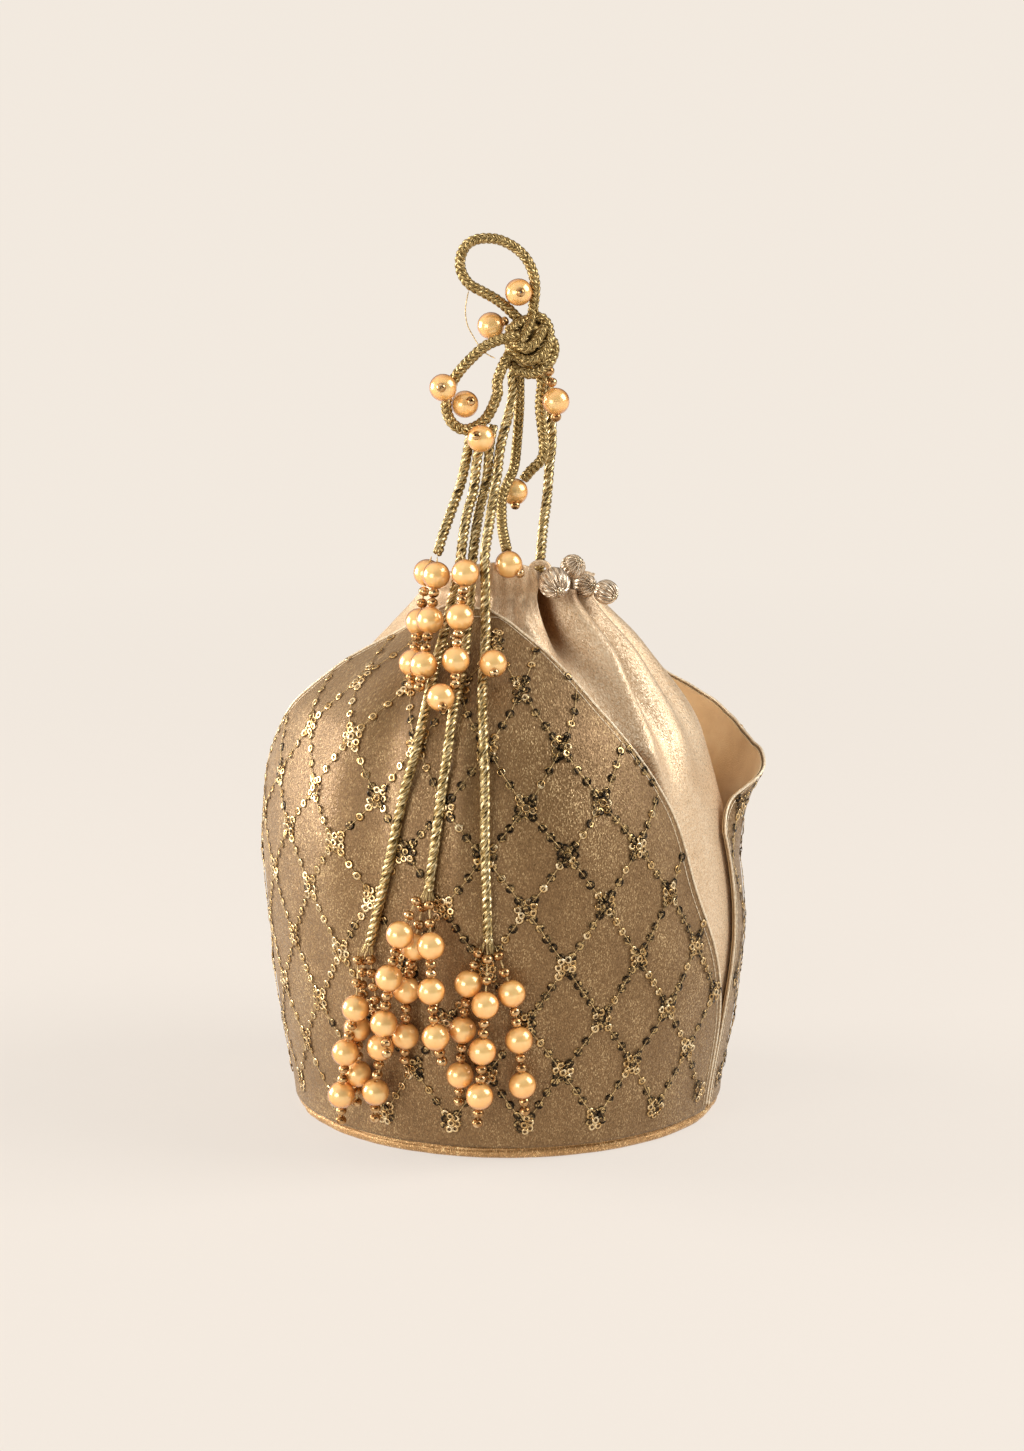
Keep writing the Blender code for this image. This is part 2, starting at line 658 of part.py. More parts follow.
def build_beads(pearl_look):
    """Strands of pearls on the tassel cords, and the single pearls on the knot and bow."""
    strand("right_tassel_strand_a", [
        on_cloth(-9.5, 83.3, 2.2), on_cloth(-14, 69.5, 5.1), on_cloth(-16, 52, 5.1), on_cloth(-17, 34.5, 5.1),
        on_cloth(-17.6, 21.5, 3),
    ], pearl_look)
    strand("right_tassel_strand_b", [
        on_cloth(-7, 83.3, 3.2), on_cloth(-8, 63, 9.8), on_cloth(-9, 45.5, 9.8), on_cloth(-10, 28, 9.8),
        on_cloth(-11, 15, 8),
    ], pearl_look)
    strand("right_tassel_strand_c", [
        on_cloth(-4.5, 83.3, 2.2), on_cloth(1.4, 66, 5.1), on_cloth(4, 48.5, 5.1), on_cloth(5.2, 31, 5.1),
        on_cloth(6.2, 18.5, 3),
    ], pearl_look)
    strand("middle_tassel_strand_a", [
        on_cloth(-30.8, 101.5, 2.6), on_cloth(-38, 88, 12.6), on_cloth(-42, 71.5, 12.6), on_cloth(-44, 54, 12.6),
        on_cloth(-42.5, 42.5, 17.5),
    ], pearl_look)
    strand("middle_tassel_strand_b", [
        on_cloth(-27.8, 101.3, 2.9), on_cloth(-27, 85, 12.6), on_cloth(-27, 68, 12.6), on_cloth(-25.5, 51, 12.6),
        on_cloth(-23, 39.5, 10),
    ], pearl_look)
    strand("middle_tassel_strand_c", [
        on_cloth(-29.4, 99.6, 0.8), on_cloth(-33, 82, 5.5), on_cloth(-36, 65.5, 5.5), on_cloth(-36.5, 48, 5.5),
        on_cloth(-37, 36, 3),
    ], pearl_look)
    strand("left_tassel_strand_a", [
        on_cloth(-53.2, 79.0, 5.6), on_cloth(-54.2, 57.8, 12), on_cloth(-58.2, 40, 12),
        on_cloth(-60, 22.5, 12), on_cloth(-60.5, 9.5, 10),
    ], pearl_look)
    strand("left_tassel_strand_b", [
        on_cloth(-49.3, 77.5, 3.6), on_cloth(-45.5, 43, 8), on_cloth(-47.5, 25, 8), on_cloth(-48, 12, 6),
    ], pearl_look, seeds_first=6)
    strand("left_tassel_strand_c", [
        on_cloth(-51.0, 76.2, 1.6), on_cloth(-54.0, 48, 5.6), on_cloth(-54.0, 30, 5.6), on_cloth(-55, 15, 3.5),
    ], pearl_look, seeds_first=5)
    strand("upper_tassel_strand_a", [
        Vector((-25.4, -35.9, 213.15)), Vector((-25.7, -40, 206.6)), Vector((-27.8, -49.5, 192)),
        Vector((-29.8, -66.5, 179)), Vector((-31.4, -75, 171.5)),
    ], pearl_look, seeds_first=0)
    strand("upper_tassel_strand_b", [
        Vector((-27.4, -34.6, 212.8)), Vector((-29.2, -30, 205.8)), Vector((-32, -39.6, 189.5)),
        Vector((-34, -57, 177.9)), Vector((-34.5, -67.5, 170.5)),
    ], pearl_look, seeds_first=0)
    strand("upper_tassel_strand_c", [
        Vector((-16.9, -39.5, 215.6)), Vector((-15.2, -47.6, 208.8)), Vector((-17, -57, 194.5)),
        Vector((-18.4, -68, 180.9)), Vector((-18.6, -75.5, 172.2)),
    ], pearl_look, seeds_first=0)
    strand("knot_drop", [
        knot_exit(0.75, -0.5, -0.7), Vector((17.5, -6, 265)), Vector((17.5, -6, 258.5)),
    ], pearl_look, seeds_last=1)
    pearl("low_pearl_left", (-23.6, -77.4, 169.6), pearl_look)
    pearl("low_pearl_right", (-5.2, -68.3, 179.9), pearl_look)
    pearl("cord_end_pearl", (0.3, -37.2, 210.1), pearl_look)
    pearl("branch_end_pearl", (2.4, 0.3, 230.8), pearl_look)
    pearl("loop_pearl", (3.9, -2.2, 304.4), pearl_look)
    pearl("knot_pearl", (-6.2, 2.3, 291.7), pearl_look)
    pearl("bow_pearl_left", (-23.4, -18.2, 271.6), pearl_look)
    pearl("bow_pearl_inner", (-15.6, -9.4, 264.4), pearl_look)
    pearl("bow_pearl_low", (-9.8, -17.0, 252.9), pearl_look)


def clear_of_cloth(centre):
    """Whether a ball stands its gap or more from the pouch's cloth round its place."""
    azimuth = math.degrees(math.atan2(centre.x, -centre.y))
    reach = BALL_RADIUS + TOUCH_GAP
    for step in range(-8, 9):
        here = azimuth + 2.0 * step
        rim = rim_height(here)
        for drop in range(12):
            height = rim - drop
            cloth = at_azimuth(pouch_radius(height) + gather(here, height), here, height)
            if (cloth - centre).length < reach:
                return False
    return True


def ball_outside(azimuth_deg, height):
    """Centre of a ball that rests against the outside of the gathered neck."""
    radius = pouch_radius(height)
    centre = at_azimuth(radius, azimuth_deg, height)
    while not clear_of_cloth(centre):
        radius += 0.1
        centre = at_azimuth(radius, azimuth_deg, height)
    return centre


def ball_on_rim(azimuth_deg, overhang):
    """Centre of a ball that rests on the pouch's rim and hangs over its outside."""
    height = rim_height(azimuth_deg)
    radius = pouch_radius(height) + gather(azimuth_deg, height) + overhang
    centre = at_azimuth(radius, azimuth_deg, height)
    while not clear_of_cloth(centre):
        height += 0.1
        centre = at_azimuth(radius, azimuth_deg, height)
    return centre


def build_mouth_balls(look):
    """Ribbed cloth balls sewn in a cluster at the right of the mouth."""
    mouth_ball("mouth_ball_front", ball_outside(30.5, RIM_HEIGHT - 2.5), look)
    mouth_ball("mouth_ball_side", ball_outside(60.0, RIM_HEIGHT - 7.2), look)
    mouth_ball("mouth_ball_top", ball_on_rim(72.0, -CLOTH_THICKNESS / 2.0), look)
    mouth_ball("mouth_ball_back", ball_on_rim(48.0, 0.6), look)


def main():
    """Build the whole bag."""
    clear_scene()
    make_collection()
    satin = material("gold_satin", (0.52, 0.36, 0.20), 0.42, 0.35)
    tissue = material("gold_tissue", (0.40, 0.26, 0.13), 0.55, 0.30)
    tan = material("tan_lining", (0.48, 0.28, 0.11), 0.80, 0.0)
    board = material("grey_board", (0.45, 0.42, 0.38), 0.9, 0.0)
    metal_cord = material("gold_cord", (0.40, 0.30, 0.08), 0.35, 0.7)
    pearls = material("orange_pearl", (0.75, 0.40, 0.12), 0.2, 0.1)
    base_panel(satin)
    base_board(board)
    pouch_shell(satin)
    pouch_lining(tan)
    petal("front_petal", front_petal_grid, tissue, tan)
    petal("back_petal", back_petal_grid, tissue, tan)
    build_mouth_balls(satin)
    knot(metal_cord)
    build_cords(metal_cord)
    build_beads(pearls)


main()
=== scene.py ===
"""The looks of a potli bag: gathered satin, two sequinned petals, braided cords and pearl tassels.

Lengths are millimetres and are turned into metres where a mesh is made. An azimuth is measured in
degrees from -Y, the front, towards +X. Surfaces are functions of azimuth and height.
"""
import math

import bmesh
import bpy
import numpy as np
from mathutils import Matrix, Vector


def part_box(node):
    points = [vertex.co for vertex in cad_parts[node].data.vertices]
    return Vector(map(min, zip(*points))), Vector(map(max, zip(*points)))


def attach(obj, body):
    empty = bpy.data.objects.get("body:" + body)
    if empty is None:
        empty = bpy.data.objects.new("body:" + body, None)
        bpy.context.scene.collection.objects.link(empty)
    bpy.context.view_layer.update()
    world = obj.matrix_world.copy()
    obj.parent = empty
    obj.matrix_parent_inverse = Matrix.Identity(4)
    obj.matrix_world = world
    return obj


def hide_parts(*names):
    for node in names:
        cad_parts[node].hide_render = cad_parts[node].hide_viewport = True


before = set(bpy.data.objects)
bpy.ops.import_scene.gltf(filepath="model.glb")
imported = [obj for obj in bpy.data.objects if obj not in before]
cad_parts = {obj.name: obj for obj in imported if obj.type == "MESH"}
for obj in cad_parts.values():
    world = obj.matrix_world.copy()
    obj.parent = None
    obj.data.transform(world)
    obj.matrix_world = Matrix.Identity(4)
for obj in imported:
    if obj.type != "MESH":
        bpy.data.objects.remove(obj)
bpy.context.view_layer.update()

MM = 0.001
SEED = 11

# Base and pouch: the frame's sizes, but for a deeper dip of the rim under the mouth balls
BASE_RADIUS = 78.0
BASE_PANEL_THICKNESS = 4.4
BASE_PANEL_LIP = 0.8
TOUCH_GAP = 0.35
POUCH_KNOTS = [
    (4.4, 78.0), (75.0, 86.0), (142.0, 71.0), (172.0, 49.5), (193.0, 31.5), (204.0, 32.0),
]
RIM_HEIGHT = 204.0
RIM_DIP = 7.0
RIM_DIP_AZIMUTH = 55.0
RIM_DIP_SPREAD = 28.0
RIM_BACK_DROP = 7.0
CLOTH_THICKNESS = 1.0
LIP_RISE = 0.45
GATHER_START = 120.0
NECK_HEIGHT = 193.0
GATHER_DEPTH = 2.4

# Petals
PETAL_AZIMUTH = -23.5
BACK_AZIMUTH = 156.5
PETAL_TOP = 194.0
PETAL_BOTTOM = 4.75
PETAL_PROFILE = [
    (4.4, 80.6), (108.0, 91.5), (153.0, 81.5), (171.0, 65.0), (184.0, 46.0), (194.0, 37.9),
]
PETAL_HALF_ANGLES = [
    (4.4, 88.6), (36.0, 88.6), (63.0, 83.5), (93.0, 74.7), (126.0, 68.0),
    (162.0, 51.0), (179.0, 40.5), (189.0, 26.0), (194.0, 13.0),
]
BACK_PETAL_HALF_ANGLE = 84.0
BACK_CORNER_TURN = 66.0
BACK_CORNER_HEIGHT = 131.0
BACK_PETAL_PROFILE = [
    (4.4, 80.6), (60.0, 84.0), (95.0, 86.5), (112.0, 89.0), (131.0, 95.0), (150.0, 93.0),
    (166.0, 88.0),
]
BACK_PETAL_TOPS = [
    (0.0, 166.0), (10.0, 158.0), (18.0, 150.0), (30.0, 143.0), (42.0, 137.0),
    (52.0, 133.5), (66.0, 131.0), (76.0, 121.0), (84.0, 108.0),
]

# Depths of a petal's layers under its face, and how far its lining stays inside the edge
TISSUE_BACK = 0.55
LINING_FACE = 0.75
LINING_BACK = 1.25
LINING_INSET = 0.7

# Radii that turn degrees round the bag into millimetres of cloth
POUCH_GIRTH = 86.0
LINING_GIRTH = 80.0
LATTICE_GIRTH = 88.0

# Sequin lattice
LATTICE_STEP_DEG = 9.2
LATTICE_ROWS = [14.0, 34.0, 53.0, 74.0, 96.0, 115.0, 132.0, 152.0, 170.0, 184.0]
SEQUIN_RADIUS = 1.70
SEQUIN_HOLE = 0.76
SEQUIN_SPACING = 4.6
RUN_START = 4.3
ROSETTE_RING = 7

# Beads and cords
PEARL_RADIUS = 5.0
SEED_RADIUS = 1.9
THREAD_RADIUS = 0.3
KNOT_CENTRE = np.array([8.0, 0.0, 284.5])
KNOT_RADII = np.array([8.6, 8.2, 11.4])
KNOT_CORE_RADII = np.array([6.2, 4.6, 9.2])
CORD_STEP = 0.55
PLY_SIDES = 10
BRAID_SIDES = 8
FILAMENT_TWIST = 0.35

rng = np.random.default_rng(SEED)


# Curves and fields

def through(knots, height):
    """Smooth curve through (height, value) knots, flat beyond the first and the last."""
    height = np.asarray(height, float)
    h = np.array([k[0] for k in knots])
    v = np.array([k[1] for k in knots])
    slope = np.empty(len(h))
    slope[1:-1] = (v[2:] - v[:-2]) / (h[2:] - h[:-2])
    slope[0] = (v[1] - v[0]) / (h[1] - h[0])
    slope[-1] = (v[-1] - v[-2]) / (h[-1] - h[-2])
    x = np.clip(height, h[0], h[-1])
    i = np.clip(np.searchsorted(h, x) - 1, 0, len(h) - 2)
    span = h[i + 1] - h[i]
    t = (x - h[i]) / span
    return (
        (2 * t ** 3 - 3 * t ** 2 + 1) * v[i]
        + (t ** 3 - 2 * t ** 2 + t) * span * slope[i]
        + (3 * t ** 2 - 2 * t ** 3) * v[i + 1]
        + (t ** 3 - t ** 2) * span * slope[i + 1]
    )


def smooth_step(edge0, edge1, value):
    """0 below edge0, 1 above edge1, eased between."""
    t = np.clip((np.asarray(value, float) - edge0) / (edge1 - edge0), 0.0, 1.0)
    return t * t * (3.0 - 2.0 * t)


def turn_between(azimuth, centre):
    """Signed angle from centre to azimuth, from -180 to 180."""
    return (np.asarray(azimuth, float) - centre + 180.0) % 360.0 - 180.0


def polar(radius, azimuth, height):
    """Points at radii, azimuths and heights, with X, Y, Z on the last axis."""
    angle = np.radians(azimuth)
    return np.stack(np.broadcast_arrays(radius * np.sin(angle), -radius * np.cos(angle), height), -1)


def ripple(azimuth, height, waves, size, grain):
    """Sum of a few seeded sine waves round the bag: small unevenness for cloth, in millimetres."""
    local = np.random.default_rng(grain)
    total = 0.0
    for _ in range(waves):
        turns = local.integers(3, 23)
        rise = local.uniform(-0.10, 0.10)
        phase = local.uniform(0.0, 2.0 * math.pi)
        weight = local.uniform(0.4, 1.0)
        total = total + weight * np.sin(np.radians(azimuth) * turns + height * rise + phase)
    return total * size / math.sqrt(waves)


# Folds of the pouch: azimuth at the neck, azimuth low down, depth, width in degrees, lowest height.
# A depth above zero is a ridge and one below zero a dip.
FRONT_FOLDS = [
    (-7.0, -12.0, 2.2, 7.0, 165.0),
    (9.0, 25.0, 4.2, 5.5, 166.0),
    (13.0, 16.0, -3.6, 1.8, 184.0),
    (17.0, 19.0, 4.4, 1.7, 187.0),
    (27.5, 28.0, -17.0, 8.6, 164.0),
    (36.0, 37.0, -3.0, 7.0, 148.0),
    (47.0, 43.0, 7.5, 5.4, 120.0),
    (54.0, 50.0, -4.4, 3.6, 136.0),
    (67.0, 57.5, 4.8, 6.6, 116.0),
    (80.0, 70.0, -3.0, 7.0, 128.0),
    (92.0, 82.0, 3.0, 8.0, 130.0),
]


def back_folds():
    """Folds round the rest of the neck: they follow each other, each a little off its even place."""
    folds = []
    for number in range(19):
        azimuth = 104.0 + 12.5 * number
        side = 1.0 if number % 2 == 0 else -1.0
        folds.append((
            azimuth + 2.4 * math.sin(2.1 * number),
            azimuth + 5.5 * math.sin(1.3 * number + 1.0),
            side * (3.2 + 0.8 * math.sin(3.7 * number)),
            7.2 + 1.2 * math.sin(2.9 * number),
            140.0 + 20.0 * math.sin(1.7 * number),
        ))
    return folds


FOLDS = FRONT_FOLDS + back_folds()


def fold_relief(azimuth, height):
    """Relief of the gathers: each fold is depth * fade(height) * exp(-(turn / width) ** 2).

    The fold's centre slides from its low azimuth to its neck azimuth with height, its width
    grows downwards as the cloth spreads, and it fades out at its lowest height.
    """
    total = 0.0
    for neck, low, depth, width, lowest in FOLDS:
        share = smooth_step(lowest, NECK_HEIGHT, height)
        centre = low + (neck - low) * share
        spread = width * (1.25 - 0.35 * share)
        fade = smooth_step(lowest - 12.0, lowest + 34.0, height)
        total = total + depth * fade * np.exp(-(turn_between(azimuth, centre) / spread) ** 2)
    # Under the front petal the folds are held down
    free = np.abs(turn_between(azimuth, PETAL_AZIMUTH)) - through(PETAL_HALF_ANGLES, height)
    room = 0.7 * GATHER_DEPTH * smooth_step(GATHER_START, NECK_HEIGHT, height)
    above = smooth_step(PETAL_TOP - 1.0, PETAL_TOP + 5.0, height)
    return np.minimum(total, room + 9.0 * np.maximum(smooth_step(1.0, 9.0, free), above))


def fold_lean(azimuth, height):
    """Degrees by which the cloth leans round the bag, so that the front ridge overhangs the deep fold beside
    it.
    """
    crest = 13.0 + 12.0 * (1.0 - smooth_step(166.0, NECK_HEIGHT, height))
    strength = smooth_step(158.0, 184.0, height) * (1.0 - smooth_step(199.0, 208.0, height))
    first = 4.2 * np.exp(-(turn_between(azimuth, crest + 3.0) / 5.2) ** 2)
    second = 2.6 * np.exp(-(turn_between(azimuth, 50.0) / 4.0) ** 2)
    return strength * (first + second)


def rim_height(azimuth):
    """Height of the rim: high in front, low where the mouth balls sit and at the back, and wavy."""
    dip = RIM_DIP * np.exp(-0.5 * (turn_between(azimuth, RIM_DIP_AZIMUTH) / RIM_DIP_SPREAD) ** 2)
    back = RIM_BACK_DROP * smooth_step(70.0, 150.0, np.abs(turn_between(azimuth, 0.0)))
    front = 6.6 * np.exp(-(turn_between(azimuth, 0.0) / 30.0) ** 4)
    return RIM_HEIGHT - dip - back + front + 0.6 * np.sin(np.radians(azimuth) * 9.0 + 1.0)


def pouch_radius(azimuth, height):
    """Outer radius of the pouch's cloth with its gathers and small creases."""
    neck = smooth_step(GATHER_START, NECK_HEIGHT, height)
    ruffle = smooth_step(176.0, 200.0, height)
    angle = np.radians(azimuth)
    fine = np.cos(angle * 31.0 + 1.6 * np.sin(angle * 3.0))
    # The drawn channel pinches the cloth and the ruffle opens over it
    pinch = -1.0 * np.exp(-((height - 197.0) / 3.0) ** 2) + 1.4 * smooth_step(198.0, 208.0, height)
    return (
        through(POUCH_KNOTS, height)
        + fold_relief(azimuth, height) * (1.0 - 0.62 * ruffle)
        + ruffle * 0.45 * fine
        + pinch
        + ripple(azimuth, height, 6, 0.22 + 0.10 * neck, 5)
    )


def petal_clear_radius(height):
    """Least radius at which a petal's outer face clears the pouch and its own lining."""
    fold = GATHER_DEPTH * smooth_step(GATHER_START, NECK_HEIGHT, height)
    return through(POUCH_KNOTS, height) + fold + 0.8 + 0.6 + 2.0 * TOUCH_GAP + 0.3


def front_petal_radius(azimuth, height):
    """Outer radius of the front petal: proud on the left, close to the pouch on the right."""
    hug = smooth_step(8.0, 58.0, azimuth)
    close = petal_clear_radius(height)
    proud = np.maximum(through(PETAL_PROFILE, height), close)
    return proud + (close - proud) * 0.8 * hug


def back_petal_radius(turn, height):
    """Outer radius of the back petal: it flares towards its top, and its lower sides curl inwards."""
    close = petal_clear_radius(height)
    proud = np.maximum(through(BACK_PETAL_PROFILE, height), close)
    curl = smooth_step(BACK_CORNER_TURN, BACK_PETAL_HALF_ANGLE, np.abs(turn))
    curl = curl * (1.0 - smooth_step(118.0, BACK_CORNER_HEIGHT, height))
    return proud + (close - proud) * curl


def back_petal_spread(height):
    """How much wider than at its corner the back petal is, by height."""
    widening = 88.6 / BACK_PETAL_HALF_ANGLE - 1.0
    return 1.0 + widening * (1.0 - smooth_step(36.0, 100.0, height))


# Centre in degrees from the petal's middle, size and width of each swell
PETAL_SWELLS = [(-21.0, 1.4, 8.0), (-8.0, -3.4, 6.2), (3.0, -1.0, 4.2), (12.5, 2.4, 4.2)]


def petal_swell(azimuth, height):
    """Slack in the front petal's tissue, with slight unevenness.

    A bulge and a broad valley on the left and a shallow valley and a ridge near the front, each
    size * exp(-((turn - centre) / width) ** 2), between the petal's belly and its top.
    """
    turn = turn_between(azimuth, PETAL_AZIMUTH)
    middle = smooth_step(66.0, 112.0, height) * (1.0 - smooth_step(162.0, 186.0, height))
    total = 0.0
    for centre, size, width in PETAL_SWELLS:
        total = total + size * np.exp(-((turn - centre) / width) ** 2)
    return total * middle + ripple(azimuth, height, 5, 0.28, 21)


def front_petal_point(azimuth, height, depth=0.0):
    """Points on the front petal, at a depth under its face."""
    radius = front_petal_radius(azimuth, height) + petal_swell(azimuth, height)
    return polar(radius - depth, azimuth, height)


def back_petal_point(azimuth, height, depth=0.0):
    """Points on the back petal, at a depth under its face."""
    turn = turn_between(azimuth, BACK_AZIMUTH) / back_petal_spread(height)
    wave = 1.1 * np.sin(np.radians(turn) * 9.0 + 0.6) * smooth_step(105.0, 140.0, height)
    radius = back_petal_radius(turn, height) + ripple(azimuth, height, 5, 0.28, 23) + wave
    return polar(radius - depth, azimuth, height)


def on_cloth(x, height, stand_off):
    """Point in front of the front petal, at a distance out from its cloth."""
    azimuth = 0.0
    for _ in range(6):
        radius = float(front_petal_radius(azimuth, height) + petal_swell(azimuth, height)) + stand_off
        azimuth = math.degrees(math.asin(max(-0.99, min(0.99, x / radius))))
    return tuple(polar(radius, azimuth, height))


def knot_exit(x, y, z, clear=0.0):
    """Point just off the knot's surface in a direction, and further out by a clear length."""
    direction = np.array([x, y, z], float)
    surface = direction / math.sqrt(np.sum((direction / KNOT_RADII) ** 2))
    normal = surface / KNOT_RADII ** 2
    normal /= np.linalg.norm(normal)
    return tuple(KNOT_CENTRE + surface + normal * (TOUCH_GAP + clear))


# Meshes

def new_mesh(name, points, faces, materials, uv=None, face_slots=None):
    """A mesh object from millimetre points and equal-sided faces, with a UV map in millimetres."""
    mesh = bpy.data.meshes.new(name)
    points = np.asarray(points, float).reshape(-1, 3) * MM
    faces = np.asarray(faces, np.int32)
    sides = faces.shape[1]
    mesh.vertices.add(len(points))
    mesh.vertices.foreach_set("co", points.ravel())
    mesh.loops.add(faces.size)
    mesh.loops.foreach_set("vertex_index", faces.ravel())
    mesh.polygons.add(len(faces))
    mesh.polygons.foreach_set("loop_start", np.arange(len(faces), dtype=np.int32) * sides)
    mesh.polygons.foreach_set("use_smooth", np.full(len(faces), True))
    mesh.update(calc_edges=True)
    if uv is not None:
        layer = mesh.uv_layers.new(name="cloth_mm")
        layer.data.foreach_set("uv", np.asarray(uv, np.float32).ravel())
    for material in materials:
        mesh.materials.append(material)
    if face_slots is not None:
        mesh.polygons.foreach_set("material_index", np.asarray(face_slots, np.int32))
    mesh.validate()
    obj = bpy.data.objects.new(name, mesh)
    bpy.context.scene.collection.objects.link(obj)
    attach(obj, "root")
    return obj


def grid_faces(rows, columns, wrap):
    """Quads of a grid of points, rows by columns, closed round its columns if wrap."""
    across = columns if wrap else columns - 1
    r, c = np.meshgrid(np.arange(rows - 1), np.arange(across), indexing="ij")
    right = (c + 1) % columns
    first, second = r * columns, (r + 1) * columns
    quads = np.stack([first + c, first + right, second + right, second + c], -1)
    return quads.reshape(-1, 4)


def grid_uv(u, v, wrap):
    """UV of each face corner of a grid from its (rows, columns) u and v; a wrapped u runs on."""
    rows, columns = u.shape
    if wrap:
        step = u[:, -1:] - u[:, -2:-1]
        u = np.concatenate([u, u[:, -1:] + step], 1)
        v = np.concatenate([v, v[:, :1]], 1)
    corner = [
        np.stack([u[:-1, :-1], v[:-1, :-1]], -1), np.stack([u[:-1, 1:], v[:-1, 1:]], -1),
        np.stack([u[1:, 1:], v[1:, 1:]], -1), np.stack([u[1:, :-1], v[1:, :-1]], -1),
    ]
    return np.stack(corner, 2).reshape(-1, 2)


def grid_object(name, points, material, wrap=False, uv=None):
    """An object from a (rows, columns, 3) grid of points."""
    rows, columns = points.shape[:2]
    corner_uv = None if uv is None else grid_uv(uv[0], uv[1], wrap)
    return new_mesh(name, points, grid_faces(rows, columns, wrap), [material], corner_uv)


def thin_sheet(name, outer, inner, material, across, height):
    """A closed thin sheet from its outer and inner grids, with UV from its millimetres of cloth."""
    def ring(first, second):
        return np.concatenate([first, second[:, ::-1]], 1)

    low = (outer[:1] + inner[:1]) / 2.0
    high = (outer[-1:] + inner[-1:]) / 2.0
    points = np.concatenate([ring(low, low), ring(outer, inner), ring(high, high)])
    u = np.concatenate([across[:1], across, across[-1:]])
    v = np.concatenate([height[:1], height, height[-1:]])
    obj = grid_object(name, points, material, wrap=True, uv=(ring(u, u), ring(v, v + 300.0)))
    work = bmesh.new()
    work.from_mesh(obj.data)
    bmesh.ops.remove_doubles(work, verts=work.verts, dist=0.00001)
    work.to_mesh(obj.data)
    work.free()
    return obj


def copies(template, faces, frames, places, scales=None):
    """Copies of template points, each turned by a 3x3 frame (columns are its axes) and moved."""
    frames = np.asarray(frames, float)
    places = np.asarray(places, float)
    scales = np.ones(len(places)) if scales is None else np.asarray(scales, float)
    points = np.einsum("nij,vj->nvi", frames, template) * scales[:, None, None] + places[:, None, :]
    starts = np.arange(len(places)) * len(template)
    all_faces = faces[None, :, :] + starts[:, None, None]
    return points.reshape(-1, 3), all_faces.reshape(-1, faces.shape[1])


def axes_along(direction):
    """3x3 frame whose third column is a direction."""
    z = np.asarray(direction, float)
    z = z / np.linalg.norm(z)
    helper = np.array([0.0, 1.0, 0.0]) if abs(z[1]) < 0.9 else np.array([1.0, 0.0, 0.0])
    x = np.cross(helper, z)
    x /= np.linalg.norm(x)
    return np.stack([x, np.cross(z, x), z], -1)


def turned_template(radii, heights, sides):
    """Points and quads of a turned body about Z, from its outline."""
    angle = np.arange(sides) * 2.0 * math.pi / sides
    radii = np.asarray(radii, float)[:, None]
    heights = np.broadcast_to(np.asarray(heights, float)[:, None], (len(radii), sides))
    points = np.stack([radii * np.cos(angle), radii * np.sin(angle), heights], -1)
    return points.reshape(-1, 3), grid_faces(len(radii), sides, True)


def bead_template(radius, hole, rings, sides, squash=1.0):
    """A drilled bead: a sphere's outline that turns in at its holes and runs through inside."""
    start = math.asin(hole / radius)
    angle = np.linspace(start, math.pi - start, rings)
    radii = radius * np.sin(angle)
    heights = radius * squash * np.cos(angle)
    radii = np.r_[radii, hole * 0.8, hole * 0.8, radii[0]]
    heights = np.r_[heights, heights[-1] * 0.8, heights[0] * 0.8, heights[0]]
    return turned_template(radii, heights, sides)


def run_along(path):
    """Length along a path at each of its points."""
    return np.r_[0.0, np.cumsum(np.linalg.norm(np.diff(path, axis=0), axis=1))]


def smooth_route(points, spacing):
    """Evenly spaced points along the smooth curve through the chosen ones."""
    points = np.asarray(points, float)
    padded = np.concatenate([points[:1], points, points[-1:]])
    pieces = []
    t = np.linspace(0.0, 1.0, 24, endpoint=False)[:, None]
    for i in range(len(points) - 1):
        p0, p1, p2, p3 = padded[i:i + 4]
        pieces.append(0.5 * (2 * p1 + (p2 - p0) * t + (2 * p0 - 5 * p1 + 4 * p2 - p3) * t ** 2
                             + (3 * p1 - p0 - 3 * p2 + p3) * t ** 3))
    dense = np.concatenate(pieces + [points[-1:]])
    run = run_along(dense)
    count = max(2, int(round(run[-1] / spacing)) + 1)
    at = np.linspace(0.0, run[-1], count)
    return np.stack([np.interp(at, run, dense[:, k]) for k in range(3)], -1), run[-1]


def carried_frames(path):
    """Tangents and two side directions along a path, carried without twist."""
    tangent = np.gradient(path, axis=0)
    tangent /= np.linalg.norm(tangent, axis=1)[:, None]
    side = np.zeros_like(path)
    side[0] = axes_along(tangent[0])[:, 0]
    for i in range(1, len(path)):
        s = side[i - 1] - tangent[i] * np.dot(side[i - 1], tangent[i])
        side[i] = s / np.linalg.norm(s)
    return tangent, side, np.cross(tangent, side)


def closed_tube(centre, across, up, wide, high, sides):
    """Vertices and quads of an oval tube whose ends are drawn in.

    across and up are unit directions at each centre; wide and high are the radii along them.
    """
    shrink = np.ones(len(centre))
    shrink[0] = shrink[-1] = 0.05
    angle = np.arange(sides) * 2.0 * math.pi / sides
    first = (wide * shrink)[:, None, None] * np.cos(angle)[None, :, None]
    second = (high * shrink)[:, None, None] * np.sin(angle)[None, :, None]
    points = centre[:, None, :] + (across[:, None, :] * first + up[:, None, :] * second)
    return points.reshape(-1, 3), grid_faces(len(centre), sides, True)


def plain_tube(points, radius, sides=6, spacing=1.0):
    """Vertices and quads of a plain thread along chosen points."""
    path, _ = smooth_route(points, spacing)
    _, side, up = carried_frames(path)
    return closed_tube(path, side, up, radius, radius, sides)


def stack(parts):
    """One list of points and one of faces from several, and each part's number of faces."""
    points = []
    faces = []
    start = 0
    for part_points, part_faces in parts:
        points.append(part_points)
        faces.append(part_faces + start)
        start += len(part_points)
    return np.concatenate(points), np.concatenate(faces), [len(f) for _, f in parts]


# Materials

